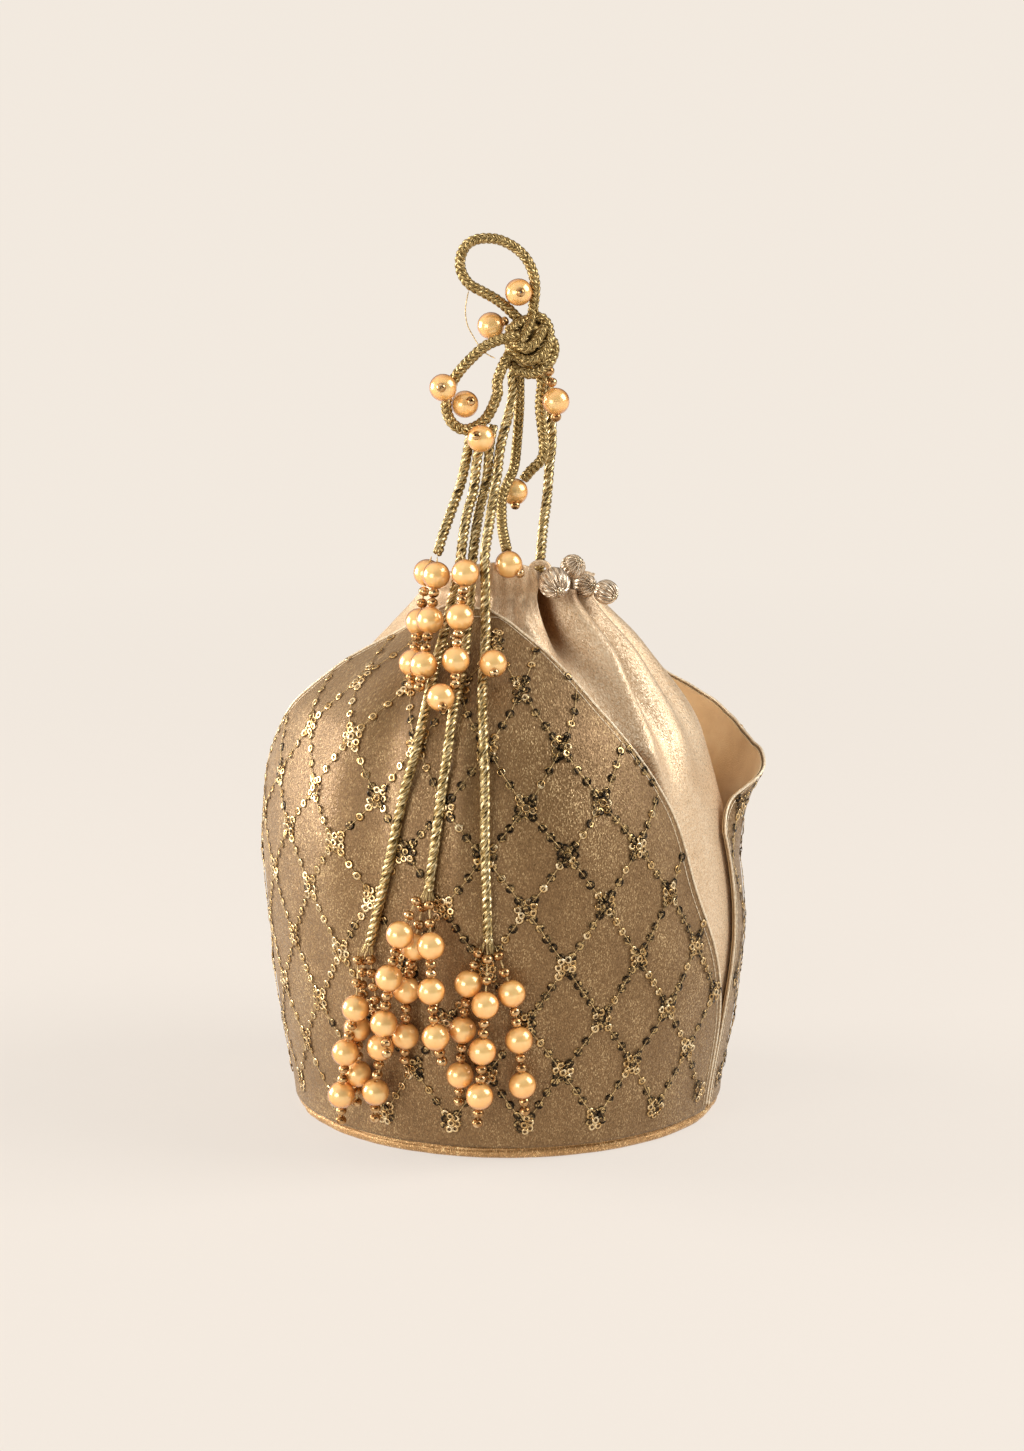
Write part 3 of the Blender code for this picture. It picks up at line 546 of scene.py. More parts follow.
def shader(name, colour, roughness, metallic, **sockets):
    """A Principled material and short names for its node tree, its shader and a node maker."""
    material = bpy.data.materials.new(name)
    material.use_nodes = True
    tree = material.node_tree
    principled = tree.nodes["Principled BSDF"]
    principled.inputs["Base Color"].default_value = (*colour, 1.0)
    principled.inputs["Roughness"].default_value = roughness
    principled.inputs["Metallic"].default_value = metallic
    for socket, value in sockets.items():
        principled.inputs[socket.replace("_", " ")].default_value = value
    return material, tree, principled


def node(tree, kind, **values):
    """A node with some of its properties or inputs set."""
    made = tree.nodes.new(kind)
    for key, value in values.items():
        name = key.replace("_", " ")
        if name in made.inputs:
            made.inputs[name].default_value = value
        else:
            setattr(made, key, value)
    return made


def ramp(tree, source, stops):
    """A colour ramp from (position, colour) stops."""
    made = tree.nodes.new("ShaderNodeValToRGB")
    elements = made.color_ramp.elements
    elements[0].position, elements[0].color = stops[0][0], (*stops[0][1], 1.0)
    elements[1].position, elements[1].color = stops[-1][0], (*stops[-1][1], 1.0)
    for position, colour in stops[1:-1]:
        elements.new(position).color = (*colour, 1.0)
    tree.links.new(source, made.inputs["Fac"])
    return made.outputs["Color"]


def value_range(tree, source, low, high, to_low, to_high):
    """Maps low..high of a value to another range."""
    made = tree.nodes.new("ShaderNodeMapRange")
    for socket, value in (("From Min", low), ("From Max", high), ("To Min", to_low), ("To Max", to_high)):
        made.inputs[socket].default_value = value
    tree.links.new(source, made.inputs["Value"])
    return made.outputs["Result"]


def noise(tree, vector, scale, detail=3.0, roughness=0.6):
    """A noise texture's value."""
    made = node(tree, "ShaderNodeTexNoise", Scale=scale, Detail=detail, Roughness=roughness)
    tree.links.new(vector, made.inputs["Vector"])
    return made.outputs["Fac"]


def math_node(tree, operation, a, b):
    """A math node of two values or links."""
    made = tree.nodes.new("ShaderNodeMath")
    made.operation = operation
    for index, value in enumerate((a, b)):
        if isinstance(value, (int, float)):
            made.inputs[index].default_value = value
        else:
            tree.links.new(value, made.inputs[index])
    return made.outputs[0]


def stretched(tree, vector, x, y, z=1.0):
    """A vector scaled by its axes."""
    made = tree.nodes.new("ShaderNodeMapping")
    made.inputs["Scale"].default_value = (x, y, z)
    tree.links.new(vector, made.inputs["Vector"])
    return made.outputs["Vector"]


def bump(tree, principled, height, strength, distance):
    """Bump from a height, in metres of distance."""
    made = node(tree, "ShaderNodeBump", Strength=strength, Distance=distance)
    tree.links.new(height, made.inputs["Height"])
    tree.links.new(made.outputs["Normal"], principled.inputs["Normal"])


def weighted(tree, first, second, share):
    """A share of the first value and the rest of the second."""
    return math_node(tree, "ADD", math_node(tree, "MULTIPLY", first, share),
                     math_node(tree, "MULTIPLY", second, 1.0 - share))


def cloth_place(tree):
    """A place on the cloth, in millimetres."""
    return tree.nodes.new("ShaderNodeUVMap").outputs["UV"]


def object_place(tree):
    """A place in the object, in metres."""
    return tree.nodes.new("ShaderNodeTexCoord").outputs["Object"]


def weave(tree, place, close, loose):
    """Threads both ways: two noises, each close across its threads and loose along them."""
    return math_node(tree, "ADD", noise(tree, stretched(tree, place, close, loose), 1.0, 2.0),
                     noise(tree, stretched(tree, place, loose, close), 1.0, 2.0))


def paint(tree, principled, value, stops):
    """Gives the shader the colours of a ramp along a value."""
    tree.links.new(ramp(tree, value, stops), principled.inputs["Base Color"])


def vector_node(tree, operation, source, other):
    """A vector node of a link and a link or a fixed vector."""
    made = node(tree, "ShaderNodeVectorMath", operation=operation)
    tree.links.new(source, made.inputs[0])
    if isinstance(other, tuple):
        made.inputs[1].default_value = other
    else:
        tree.links.new(other, made.inputs[1])
    return made.outputs["Vector"]


def glitter_normal(tree, cell_colour, spread):
    """The surface normal, tipped a little differently in each cell, as flat metal threads are."""
    scaled = node(tree, "ShaderNodeVectorMath", operation="SCALE", Scale=spread)
    tree.links.new(vector_node(tree, "SUBTRACT", cell_colour, (0.5, 0.5, 0.5)), scaled.inputs[0])
    normal = tree.nodes.new("ShaderNodeNewGeometry").outputs["Normal"]
    unit = node(tree, "ShaderNodeVectorMath", operation="NORMALIZE")
    tree.links.new(vector_node(tree, "ADD", normal, scaled.outputs["Vector"]), unit.inputs[0])
    return unit.outputs["Vector"]


# Painted shade: colours that multiply a cloth's colour, from none to the darkest fold
PAINTED_FOLD_SHADES = [(0.0, (1.0, 1.0, 1.0)), (1.0, (0.25, 0.14, 0.05))]


def cloth_material(name, stops, metallic, roughness, cell_mm, spread, warp=1.0, **sockets):
    """Woven metallic cloth on a UV map in millimetres.

    Each small cell of thread has its own shade and its own tilt, so single threads catch the
    light as sparkles; a soft noise moves the colour over the cloth, and a fine weave is its bump.
    Where a mesh carries a per-point shade value, the cloth's colour is darkened with it: painted shade for
    deep folds and the gaps between the mouth balls.
    """
    material, tree, principled = shader(name, stops[1][1], roughness, metallic, **sockets)
    place = cloth_place(tree)
    cloud = noise(tree, stretched(tree, place, 0.05, 0.035), 1.0, 4.0)
    cells = node(tree, "ShaderNodeTexVoronoi", Scale=1.0)
    cell_place = stretched(tree, place, 1.0 / cell_mm, 1.0 / (cell_mm * warp))
    tree.links.new(cell_place, cells.inputs["Vector"])
    channels = tree.nodes.new("ShaderNodeSeparateColor")
    tree.links.new(cells.outputs["Color"], channels.inputs["Color"])
    colour = ramp(tree, weighted(tree, cloud, channels.outputs[0], 0.42), stops)
    # Painted shade: a per-point value on the mesh darkens the cloth's colour
    painted_fold_shade = node(tree, "ShaderNodeAttribute", attribute_name="painted_fold_shade").outputs["Fac"]
    shaded = vector_node(tree, "MULTIPLY", colour, ramp(tree, painted_fold_shade, PAINTED_FOLD_SHADES))
    tree.links.new(shaded, principled.inputs["Base Color"])
    tree.links.new(value_range(tree, channels.outputs[1], 0.6, 1.0, roughness, roughness * 0.5),
                   principled.inputs["Roughness"])
    relief = node(tree, "ShaderNodeBump", Strength=0.45, Distance=0.00022)
    tree.links.new(weave(tree, place, 2.2, 0.5), relief.inputs["Height"])
    tree.links.new(glitter_normal(tree, cells.outputs["Color"], spread), relief.inputs["Normal"])
    tree.links.new(relief.outputs["Normal"], principled.inputs["Normal"])
    return material


def satin_material():
    """Champagne-gold satin of the pouch and of the draw cord's hood."""
    stops = [(0.22, (0.57, 0.385, 0.220)), (0.50, (0.74, 0.55, 0.355)), (0.78, (0.86, 0.71, 0.52))]
    return cloth_material("gold_satin", stops, 0.44, 0.46, 0.28, 0.30, warp=1.6,
                          Sheen_Weight=0.15, Sheen_Tint=(1.0, 0.9, 0.75, 1.0))


def tissue_material(name, gain):
    """Glittering taupe-gold tissue of the petals and the base, lighter or darker by a gain; the base's
    lighter copy is painted light.
    """
    stops = [(0.22, (0.19, 0.103, 0.036)), (0.52, (0.285, 0.165, 0.066)),
             (0.70, (0.36, 0.218, 0.092)), (0.86, (0.90, 0.66, 0.35))]
    stops = [(at, tuple(gain * part for part in colour)) for at, colour in stops]
    return cloth_material(name, stops, 0.42, 0.48, 0.25, 0.34, warp=2.2,
                          Sheen_Weight=0.15, Sheen_Tint=(1.0, 0.88, 0.7, 1.0))


def lining_material():
    """Plain tan lining cloth with a matt weave."""
    material, tree, principled = shader(
        "tan_lining", (0.66, 0.42, 0.20), 0.78, 0.0, Sheen_Weight=0.35)
    place = cloth_place(tree)
    paint(tree, principled, noise(tree, stretched(tree, place, 0.05, 0.05), 1.0, 5.0),
          [(0.3, (0.68, 0.45, 0.22)), (0.5, (0.82, 0.58, 0.31)), (0.7, (0.90, 0.69, 0.41))])
    bump(tree, principled, weave(tree, place, 2.6, 0.8), 0.5, 0.00025)
    return material


def cord_material(name, stops):
    """Metallic olive-gold yarn: bright filaments with dark lines between them."""
    material, tree, principled = shader(name, stops[1][1], 0.32, 0.85)
    place = cloth_place(tree)
    filaments = noise(tree, stretched(tree, place, 3.4, 0.35), 1.0, 2.0)
    patches = noise(tree, stretched(tree, place, 0.6, 0.25), 1.0, 3.0)
    paint(tree, principled, weighted(tree, filaments, patches, 0.65), stops)
    tree.links.new(value_range(tree, patches, 0.35, 0.65, 0.42, 0.24), principled.inputs["Roughness"])
    bump(tree, principled, filaments, 0.5, 0.0002)
    return material


def pearl_material():
    """Orange-gold glass pearl under a clear coat, its colour darkened towards its outline: painted shade."""
    material, tree, principled = shader(
        "orange_pearl", (0.88, 0.46, 0.13), 0.24, 0.28, Coat_Weight=1.0, Coat_Roughness=0.10,
        Subsurface_Weight=0.05, Subsurface_Scale=0.003, Subsurface_Radius=(1.0, 0.5, 0.2),
        Specular_IOR_Level=0.7,
    )
    place = object_place(tree)
    cloud = noise(tree, place, 260.0, 4.0)
    # Painted shade: the colour runs from light at the centre to deep orange at the outline by the Facing
    # value
    rim = node(tree, "ShaderNodeLayerWeight", Blend=0.35).outputs["Facing"]
    paint(tree, principled, weighted(tree, cloud, rim, 0.35),
          [(0.15, (1.0, 0.70, 0.30)), (0.36, (1.0, 0.54, 0.17)), (0.62, (0.50, 0.16, 0.028))])
    bump(tree, principled, noise(tree, place, 900.0, 2.0), 0.08, 0.0002)
    return material


def ball_satin_material():
    """Pale shiny satin of the mouth balls, its threads along the pleats."""
    material, tree, principled = shader(
        "pale_satin", (0.76, 0.62, 0.45), 0.26, 0.75, Sheen_Weight=0.1)
    threads = noise(tree, stretched(tree, cloth_place(tree), 2.4, 0.22), 1.0, 3.0)
    paint(tree, principled, threads,
          [(0.36, (0.24, 0.155, 0.09)), (0.50, (0.66, 0.52, 0.37)), (0.62, (0.96, 0.87, 0.74))])
    bump(tree, principled, threads, 0.5, 0.0003)
    return material


def grained_material(name, colour, roughness, metallic, grain, stops, relief, gloss=None, **sockets):
    """A material whose colour runs along a noise over the object, and whose bump is a noise too.

    grain is the noise's scale and detail. relief is the bump's scale, detail, strength and
    distance, where a scale of 0 takes the grain itself. gloss is the roughness over dark grain
    and over bright grain, where it is not the same all over.
    """
    material, tree, principled = shader(name, colour, roughness, metallic, **sockets)
    place = object_place(tree)
    cloud = noise(tree, place, *grain)
    paint(tree, principled, cloud, stops)
    if gloss is not None:
        tree.links.new(value_range(tree, cloud, 0.35, 0.65, *gloss), principled.inputs["Roughness"])
    scale, detail, strength, distance = relief
    bump(tree, principled, noise(tree, place, scale, detail) if scale else cloud, strength, distance)
    return material


SATIN = satin_material()
TISSUE = tissue_material("gold_tissue", 0.83)
# The base's copy of the petals' tissue, 2.1 times lighter: a lit copy of one cloth, painted light
BASE_TISSUE_PAINTED_LIGHTER = tissue_material("base_tissue_painted_light", 1.75)
LINING = lining_material()
CORD = cord_material(
    "gold_cord", [(0.40, (0.04, 0.022, 0.006)), (0.48, (0.45, 0.315, 0.12)), (0.60, (1.0, 0.86, 0.53))])
BRAID = cord_material(
    "gold_braid", [(0.32, (0.07, 0.042, 0.013)), (0.50, (0.38, 0.265, 0.10)), (0.66, (0.82, 0.66, 0.36))])
PEARL = pearl_material()
BALL_SATIN = ball_satin_material()
# Metallic seed beads
COPPER = grained_material(
    "copper_seed", (0.62, 0.32, 0.11), 0.2, 0.9, (420.0, 3.0),
    [(0.35, (0.30, 0.145, 0.05)), (0.5, (0.56, 0.33, 0.14)), (0.68, (0.85, 0.62, 0.36))],
    (1500.0, 2.0, 0.3, 0.0002))
# Bright foil of the sequins, slightly worn, and the same foil with a painted dark reflection, as it would
# mirror a dark room
SEQUIN = grained_material(
    "gold_sequin", (0.78, 0.56, 0.27), 0.16, 1.0, (300.0, 3.0),
    [(0.36, (0.36, 0.21, 0.075)), (0.5, (0.74, 0.51, 0.24)), (0.64, (0.95, 0.78, 0.50))],
    (1300.0, 2.0, 0.35, 0.0003), gloss=(0.12, 0.28))
SEQUIN_PAINTED_DARK_REFLECTION = grained_material(
    "sequin_painted_dark_reflection", (0.07, 0.048, 0.028), 0.22, 0.9, (520.0, 2.0),
    [(0.44, (0.022, 0.015, 0.009)), (0.52, (0.12, 0.08, 0.038)), (0.58, (0.60, 0.42, 0.19))],
    (1300.0, 2.0, 0.25, 0.0003))
# Small beads and buttons on the mouth balls
PALE_METAL = grained_material(
    "pale_gold_metal", (0.80, 0.68, 0.50), 0.22, 0.95, (600.0, 2.0),
    [(0.38, (0.50, 0.38, 0.24)), (0.6, (0.90, 0.80, 0.64))], (1500.0, 2.0, 0.2, 0.0002))
THREAD = grained_material(
    "gold_thread", (0.40, 0.27, 0.09), 0.45, 0.5, (1800.0, 2.0),
    [(0.4, (0.36, 0.23, 0.09)), (0.6, (0.84, 0.64, 0.32))], (0.0, 0.0, 0.5, 0.0002))
PIPING = grained_material(
    "pale_piping", (0.90, 0.76, 0.56), 0.42, 0.3, (1100.0, 2.0),
    [(0.38, (0.74, 0.58, 0.38)), (0.6, (0.95, 0.84, 0.65))], (0.0, 0.0, 0.5, 0.0002),
    Sheen_Weight=0.3)
BOARD = grained_material(
    "grey_board", (0.36, 0.33, 0.29), 0.9, 0.0, (350.0, 5.0),
    [(0.35, (0.27, 0.24, 0.20)), (0.65, (0.43, 0.40, 0.35))], (0.0, 0.0, 0.3, 0.0003))


# Pouch and base

def pouch():
    """The pouch's cloth: outside up to the ruffled rim, over it and down inside.

    Outside, radius(azimuth, height) is the profile, plus the folds, the ruffle and fine creases.
    Inside is the same surface, a cloth's thickness in.
    """
    columns = 520
    azimuth = np.arange(columns) * 360.0 / columns
    bottom = BASE_PANEL_THICKNESS + TOUCH_GAP
    part = np.linspace(0.0, 1.0, 150) ** 0.85
    rim = rim_height(azimuth)[None, :]
    height = bottom + (rim - bottom) * part[:, None]
    outside = polar(pouch_radius(azimuth, height), azimuth + fold_lean(azimuth, height), height)
    lip_azimuth = azimuth + fold_lean(azimuth, rim)
    lip = polar(pouch_radius(azimuth, rim) - CLOTH_THICKNESS / 2.0, lip_azimuth, rim + LIP_RISE)
    down = np.linspace(1.0, 0.66, 34)
    inside_height = bottom + (rim - bottom) * down[:, None]
    inside_azimuth = azimuth + fold_lean(azimuth, inside_height)
    inside = polar(pouch_radius(azimuth, inside_height) - CLOTH_THICKNESS, inside_azimuth, inside_height)
    points = np.concatenate([outside, lip, inside])
    heights = np.concatenate([height, rim + LIP_RISE, 2.0 * rim - inside_height])
    around = np.broadcast_to(np.radians(azimuth) * POUCH_GIRTH, heights.shape)
    obj = grid_object("pouch_cloth", points, SATIN, wrap=True, uv=(around, heights))
    # Painted shade: the cloth's colour is darkened deep in the front fold and between the mouth balls, where
    # shade falls
    relief = fold_relief(azimuth, height) + 4.0 * np.exp(-(turn_between(azimuth, 66.0) / 9.0) ** 2)
    painted_fold_shade = np.zeros(heights.shape)
    painted_fold_shade[:len(height)] = smooth_step(3.0, 10.0, -relief) * smooth_step(166.0, 182.0, height)
    # Painted shade between the mouth balls: the rim cloth's colour is darkened where shade falls between them
    between = 0.75 * np.exp(-(turn_between(azimuth, 53.0) / 15.0) ** 4) * smooth_step(191.0, 196.0, heights)
    painted_fold_shade = np.maximum(painted_fold_shade, between)
    layer = obj.data.attributes.new("painted_fold_shade", "FLOAT", "POINT")
    layer.data.foreach_set("value", painted_fold_shade.astype(np.float32).ravel())
    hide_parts("pouch_shell")


def pouch_lining():
    """The lining cup: floor over the board, then the wall with soft creases."""
    azimuth = np.arange(160) * 2.25
    floor = 7.1
    top = 158.0
    levels = np.linspace(floor + 0.8, top, 50)[:, None]
    wall = through(POUCH_KNOTS, levels) - 3.0 - 1.8 * smooth_step(GATHER_START, top, levels)
    wall = wall + 0.5 * np.sin(np.radians(azimuth) * 13.0) * smooth_step(70.0, 150.0, levels)
    inside = polar(wall, azimuth, levels)
    share = np.linspace(0.02, 0.99, 14)[:, None]
    bowl = polar(wall[0] * share, azimuth, np.broadcast_to(floor + 0.8, (14, 1)) + 0.0 * share)
    outside = polar(wall[::-1] + 0.7, azimuth, levels[::-1])
    under = polar(wall[0] * share[::-1], azimuth, floor + 0.0 * share)
    points = np.concatenate([bowl, inside, outside, under])
    run = np.concatenate([wall[0].mean() * share, 75.0 + levels, 75.0 + levels[::-1], 74.0 * share[::-1]])
    around = np.radians(azimuth)[None, :] * LINING_GIRTH
    uv = np.broadcast_arrays(around, run)
    obj = grid_object("pouch_lining_cloth", points, LINING, wrap=True, uv=uv)
    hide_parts("pouch_lining")


def base_panel():
    """The padded base, covered in the petals' cloth: rolled edge, puckers and creases.

    The roll's reach is half * cos(turn), swollen by the ripple and drawn in by seeded creases.
    """
    local = np.random.default_rng(SEED + 4)
    azimuth = np.arange(720) * 0.5
    turn = np.linspace(-0.5 * math.pi, 0.5 * math.pi, 22)[:, None]
    half = BASE_PANEL_THICKNESS / 2.0
    swell = ripple(azimuth, 0.0, 9, 0.45, 3)
    pucker = 0.0
    for _ in range(46):
        centre = local.uniform(0.0, 360.0)
        width = local.uniform(0.8, 2.4)
        depth = local.uniform(0.2, 0.6)
        slant = local.uniform(-2.0, 2.0)
        pucker = pucker - depth * np.exp(-(turn_between(azimuth, centre + slant * turn) / width) ** 2)
    crease = -0.55 * np.exp(-((turn - 0.55 - 0.12 * np.sin(np.radians(azimuth) * 5.0)) / 0.20) ** 2)
    radius = BASE_RADIUS + BASE_PANEL_LIP + 0.5 - half + (half + swell) * np.cos(turn)
    radius = radius + (crease + pucker) * np.cos(turn)
    height = half + half * np.sin(turn)
    edge = polar(radius, azimuth, height)
    share = np.linspace(0.02, 0.985, 24)[:, None]
    inner = BASE_RADIUS + BASE_PANEL_LIP - half
    under = polar(inner * share, azimuth, 0.0 * share)
    over = polar(inner * share[::-1], azimuth, BASE_PANEL_THICKNESS + 0.0 * share)
    points = np.concatenate([under, edge, over])
    run = np.concatenate([inner * share, inner + half * (turn + 1.57), inner + 8.0 + inner * share])
    around = np.radians(azimuth)[None, :] * BASE_RADIUS
    uv = np.broadcast_arrays(around, run)
    obj = grid_object("base_roll", points, BASE_TISSUE_PAINTED_LIGHTER, wrap=True, uv=uv)
    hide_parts("base_panel")


def front_petal_grid(depth, inset=0.0, columns=200, rows=190):
    """Points, azimuths and heights over the front petal, bottom row first, an inset inside its edge."""
    part = np.linspace(0.0, 1.0, rows)[:, None]
    height = PETAL_BOTTOM + (PETAL_TOP - inset - PETAL_BOTTOM) * (1.0 - (1.0 - part) ** 1.25)
    half = through(PETAL_HALF_ANGLES, height) - math.degrees(inset / 80.0)
    azimuth = PETAL_AZIMUTH + half * np.linspace(-1.0, 1.0, columns)[None, :]
    height = np.broadcast_to(height, azimuth.shape)
    return front_petal_point(azimuth, height, depth), azimuth, height


def back_petal_top(turn):
    """Height of the back petal's edge at a turn from its middle, a little scalloped."""
    scallop = 0.45 * np.abs(np.sin(np.radians(turn) * 19.0))
    return through(BACK_PETAL_TOPS, np.abs(turn)) + scallop


def back_petal_grid(depth, inset=0.0, columns=210, rows=170):
    """Points, azimuths and heights over the back petal, bottom row first, an inset inside its edge."""
    part = np.linspace(0.0, 1.0, rows)[:, None]
    half = BACK_PETAL_HALF_ANGLE - math.degrees(inset / LATTICE_GIRTH)
    turn = half * np.linspace(-1.0, 1.0, columns)[None, :]
    height = PETAL_BOTTOM + (back_petal_top(turn) - inset - PETAL_BOTTOM) * part
    azimuth = BACK_AZIMUTH + turn * back_petal_spread(height)
    return back_petal_point(azimuth, height, depth), azimuth, height


def petal_sheet(name, node_name, grid_of, depths, inset, material, centre):
    """One thin sheet of a petal between two depths, with UV in millimetres, and its face's points."""
    face, azimuth, height = grid_of(depths[0], inset)
    across = np.radians(turn_between(azimuth, centre)) * POUCH_GIRTH
    obj = thin_sheet(name, face, grid_of(depths[1], inset)[0], material, across, height)
    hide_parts(node_name)
    return obj, face


def petal_cloth(name, nodes, grid_of, centre):
    """A petal's tissue face and its lining, cut to the same shape."""
    tissue, face = petal_sheet(name + "_tissue", nodes[0], grid_of, (0.0, TISSUE_BACK), 0.0, TISSUE, centre)
    lining, _ = petal_sheet(
        name + "_lining_cloth", nodes[1], grid_of, (LINING_FACE, LINING_BACK), LINING_INSET, LINING, centre)


def petal_edge_points(grid_of, inset, depth):
    """Points round a petal's free edge: up its left side, over the top and down its right side."""
    points, _, _ = grid_of(depth, inset)
    return np.concatenate([points[:, 0], points[-1, 1:-1], points[::-1, -1]])


def petal_edge(name, grid_of, eyelet=None):
    """The turned hem: a pale piping on the edge, a seam inside it, and a small eyelet if it has one."""
    rim = petal_edge_points(grid_of, 0.0, -0.1)
    parts = [plain_tube(rim[::3], 0.44, sides=8, spacing=0.9)]
    seam, _ = smooth_route(petal_edge_points(grid_of, 2.7, -0.12)[::3], 0.8)
    _, side, up = carried_frames(seam)
    beads = 0.14 + 0.05 * np.cos(np.arange(len(seam)) * 2.1)
    parts.append(closed_tube(seam, side, up, beads, beads, 6))
    if eyelet is not None:
        place, normal, rise = surface_frame(front_petal_point, *eyelet)
        angle = np.linspace(0.0, 2.0 * math.pi, 25)[:, None]
        side = np.cross(normal, rise)
        ring = place + normal * 0.5 + rise * np.sin(angle) * 1.25 + side * np.cos(angle) * 0.95
        parts.append(plain_tube(ring, 0.26, sides=6, spacing=0.4))
    points, faces, _ = stack(parts)
    new_mesh(name, points, faces, [PIPING])


def surface_frame(point_of, azimuth, height):
    """Place, outward normal and upward direction on a petal."""
    here = point_of(azimuth, height)
    right = point_of(azimuth + 0.2, height) - here
    rise = point_of(azimuth, height + 0.2) - here
    normal = np.cross(right, rise)
    normal /= np.linalg.norm(normal, axis=-1)[..., None]
    rise /= np.linalg.norm(rise, axis=-1)[..., None]
    return here, normal, rise


def lattice_runs():
    """Crossings of the lattice as (turn from the petal's centre, height), and the runs between them."""
    crossings = {}
    for row, height in enumerate(LATTICE_ROWS):
        for column in range(-9, 10):
            if column % 2 == (row + 1) % 2:
                crossings[(column, row)] = (column * LATTICE_STEP_DEG, height)
    runs = []
    for (column, row), start in crossings.items():
        for step in (-1, 1):
            end = crossings.get((column + step, row + 1))
            if end is not None:
                runs.append((start, end))
    return list(crossings.values()), runs


def in_front_petal(turn, height, margin):
    """Whether a place lies on the front petal, a margin in millimetres inside its edge."""
    half = float(through(PETAL_HALF_ANGLES, height))
    reach = math.radians(half - abs(turn)) * 84.0
    return reach > margin and PETAL_BOTTOM + 1.5 < height < PETAL_TOP - 2.0


def in_back_petal(turn, height, margin):
    """Whether a place lies on the back petal, a margin in millimetres inside its edge."""
    place = turn / float(back_petal_spread(height))
    reach = math.radians(BACK_PETAL_HALF_ANGLE - abs(place)) * LATTICE_GIRTH
    top = float(through(BACK_PETAL_TOPS, abs(place)))
    return reach > margin and PETAL_BOTTOM + 1.5 < height < top - margin


def sequin_template():
    """A nearly flat sequin: a ring cupped a little, with a soft rim."""
    radii = [SEQUIN_HOLE, 1.20, SEQUIN_RADIUS, 1.2, SEQUIN_HOLE]
    heights = [0.22, 0.30, 0.12, 0.10, 0.22]
    return turned_template(radii, heights, 15)


def sequin_frames(place, normal, rise, tilt, seed):
    """Frames of sequins that lie on the cloth, each tipped by up to tilt degrees."""
    local = np.random.default_rng(seed)
    lean = np.radians(local.uniform(-tilt, tilt, (len(place), 2)))
    side = np.cross(rise, normal)
    z = normal + side * np.sin(lean[:, :1]) + rise * np.sin(lean[:, 1:])
    z /= np.linalg.norm(z, axis=1)[:, None]
    x = np.cross(rise, z)
    x /= np.linalg.norm(x, axis=1)[:, None]
    return np.stack([x, np.cross(z, x), z], -1)


def petal_sequins(name, point_of, inside_petal, centre, seed):
    """The lattice: sequins along each run, a ring of them at each crossing, and the gold thread.

    On the front and right the light leaves most sequins dark, so a share of them that grows
    towards the right is painted dark: the same gold foil with a painted dark reflection.
    """
    local = np.random.default_rng(seed)
    crossings, runs = lattice_runs()
    # Turn, height, stand-off, tilt, size, and the share kept from the painted dark reflection
    spots = []
    threads = []
    for (turn0, height0), (turn1, height1) in runs:
        across = math.radians(turn1 - turn0) * LATTICE_GIRTH
        length = math.hypot(across, height1 - height0)
        room = length - 2.0 * RUN_START
        count = int(round(room / SEQUIN_SPACING)) + 1
        kept = []
        for number in range(count):
            share = (RUN_START + room * number / max(count - 1, 1)) / length
            share = share + local.uniform(-0.015, 0.015)
            turn = turn0 + (turn1 - turn0) * share + local.uniform(-0.15, 0.15)
            height = height0 + (height1 - height0) * share
            if inside_petal(turn, height, 1.6):
                spots.append((turn, height, 0.30, 11.0, 1.0, 0.0))
                kept.append((turn, height))
        if len(kept) > 1:
            ends = [p for p in ((turn0, height0), (turn1, height1)) if inside_petal(*p, 1.0)]
            threads.append(sorted(kept + ends, key=lambda p: p[1]))
    for turn, height in crossings:
        if not inside_petal(turn, height, 2.4):
            continue
        spots.append((turn, height, 0.75, 10.0, 0.92, 0.5))
        start = local.uniform(0.0, 2.0 * math.pi)
        for number in range(ROSETTE_RING):
            angle = start + number * 2.0 * math.pi / ROSETTE_RING
            reach = 2.75 + local.uniform(-0.25, 0.25)
            shift = math.degrees(reach * math.cos(angle) / LATTICE_GIRTH)
            lift = reach * math.sin(angle)
            spots.append((turn + shift, height + lift, local.uniform(0.3, 0.6), 15.0, 0.9, 0.5))
    spots = np.array(spots)
    place, normal, rise = surface_frame(point_of, centre + spots[:, 0], spots[:, 1])
    template, faces = sequin_template()
    frames = np.empty((len(spots), 3, 3))
    for tilt in np.unique(spots[:, 3]):
        some = spots[:, 3] == tilt
        frames[some] = sequin_frames(place[some], normal[some], rise[some], tilt, seed + int(tilt))
    points, all_faces = copies(template, faces, frames, place + normal * spots[:, 2:3], spots[:, 4])
    # Painted reflection: the share of dark sequins grows towards the right, where the foil mirrors a dark
    # room
    painted_reflection_toward_right = smooth_step(-46.0, -4.0, turn_between(centre + spots[:, 0], 0.0))
    dark = local.random(len(spots)) < (0.05 + 0.75 * painted_reflection_toward_right) * (1.0 - spots[:, 5])
    slots = np.repeat(dark.astype(int), len(faces))
    sequins = new_mesh(name + "_sequins", points, all_faces, [SEQUIN, SEQUIN_PAINTED_DARK_REFLECTION], face_slots=slots)
    parts = []
    for line in threads:
        line = np.array(line)
        at, out, _ = surface_frame(point_of, centre + line[:, 0], line[:, 1])
        parts.append(plain_tube(at + out * 0.45, 0.15, sides=5, spacing=1.6))
    points, all_faces, _ = stack(parts)
    new_mesh(name + "_lattice_thread", points, all_faces, [THREAD])


# Mouth balls: name, shift from the frame's ball, radius, direction in which the tip faces
MOUTH_BALLS = [
    ("front", (-1.6, -1.2, 1.2), 6.1, (0.34, -0.82, -0.46)),
    ("back", (-2.6, 3.0, 1.2), 4.9, (0.55, -0.45, 0.65)),
    ("side", (1.2, 0.4, 0.2), 4.8, (0.80, -0.50, -0.35)),
    ("top", (-1.6, -5.2, -7.4), 4.7, (0.70, -0.65, 0.10)),
]


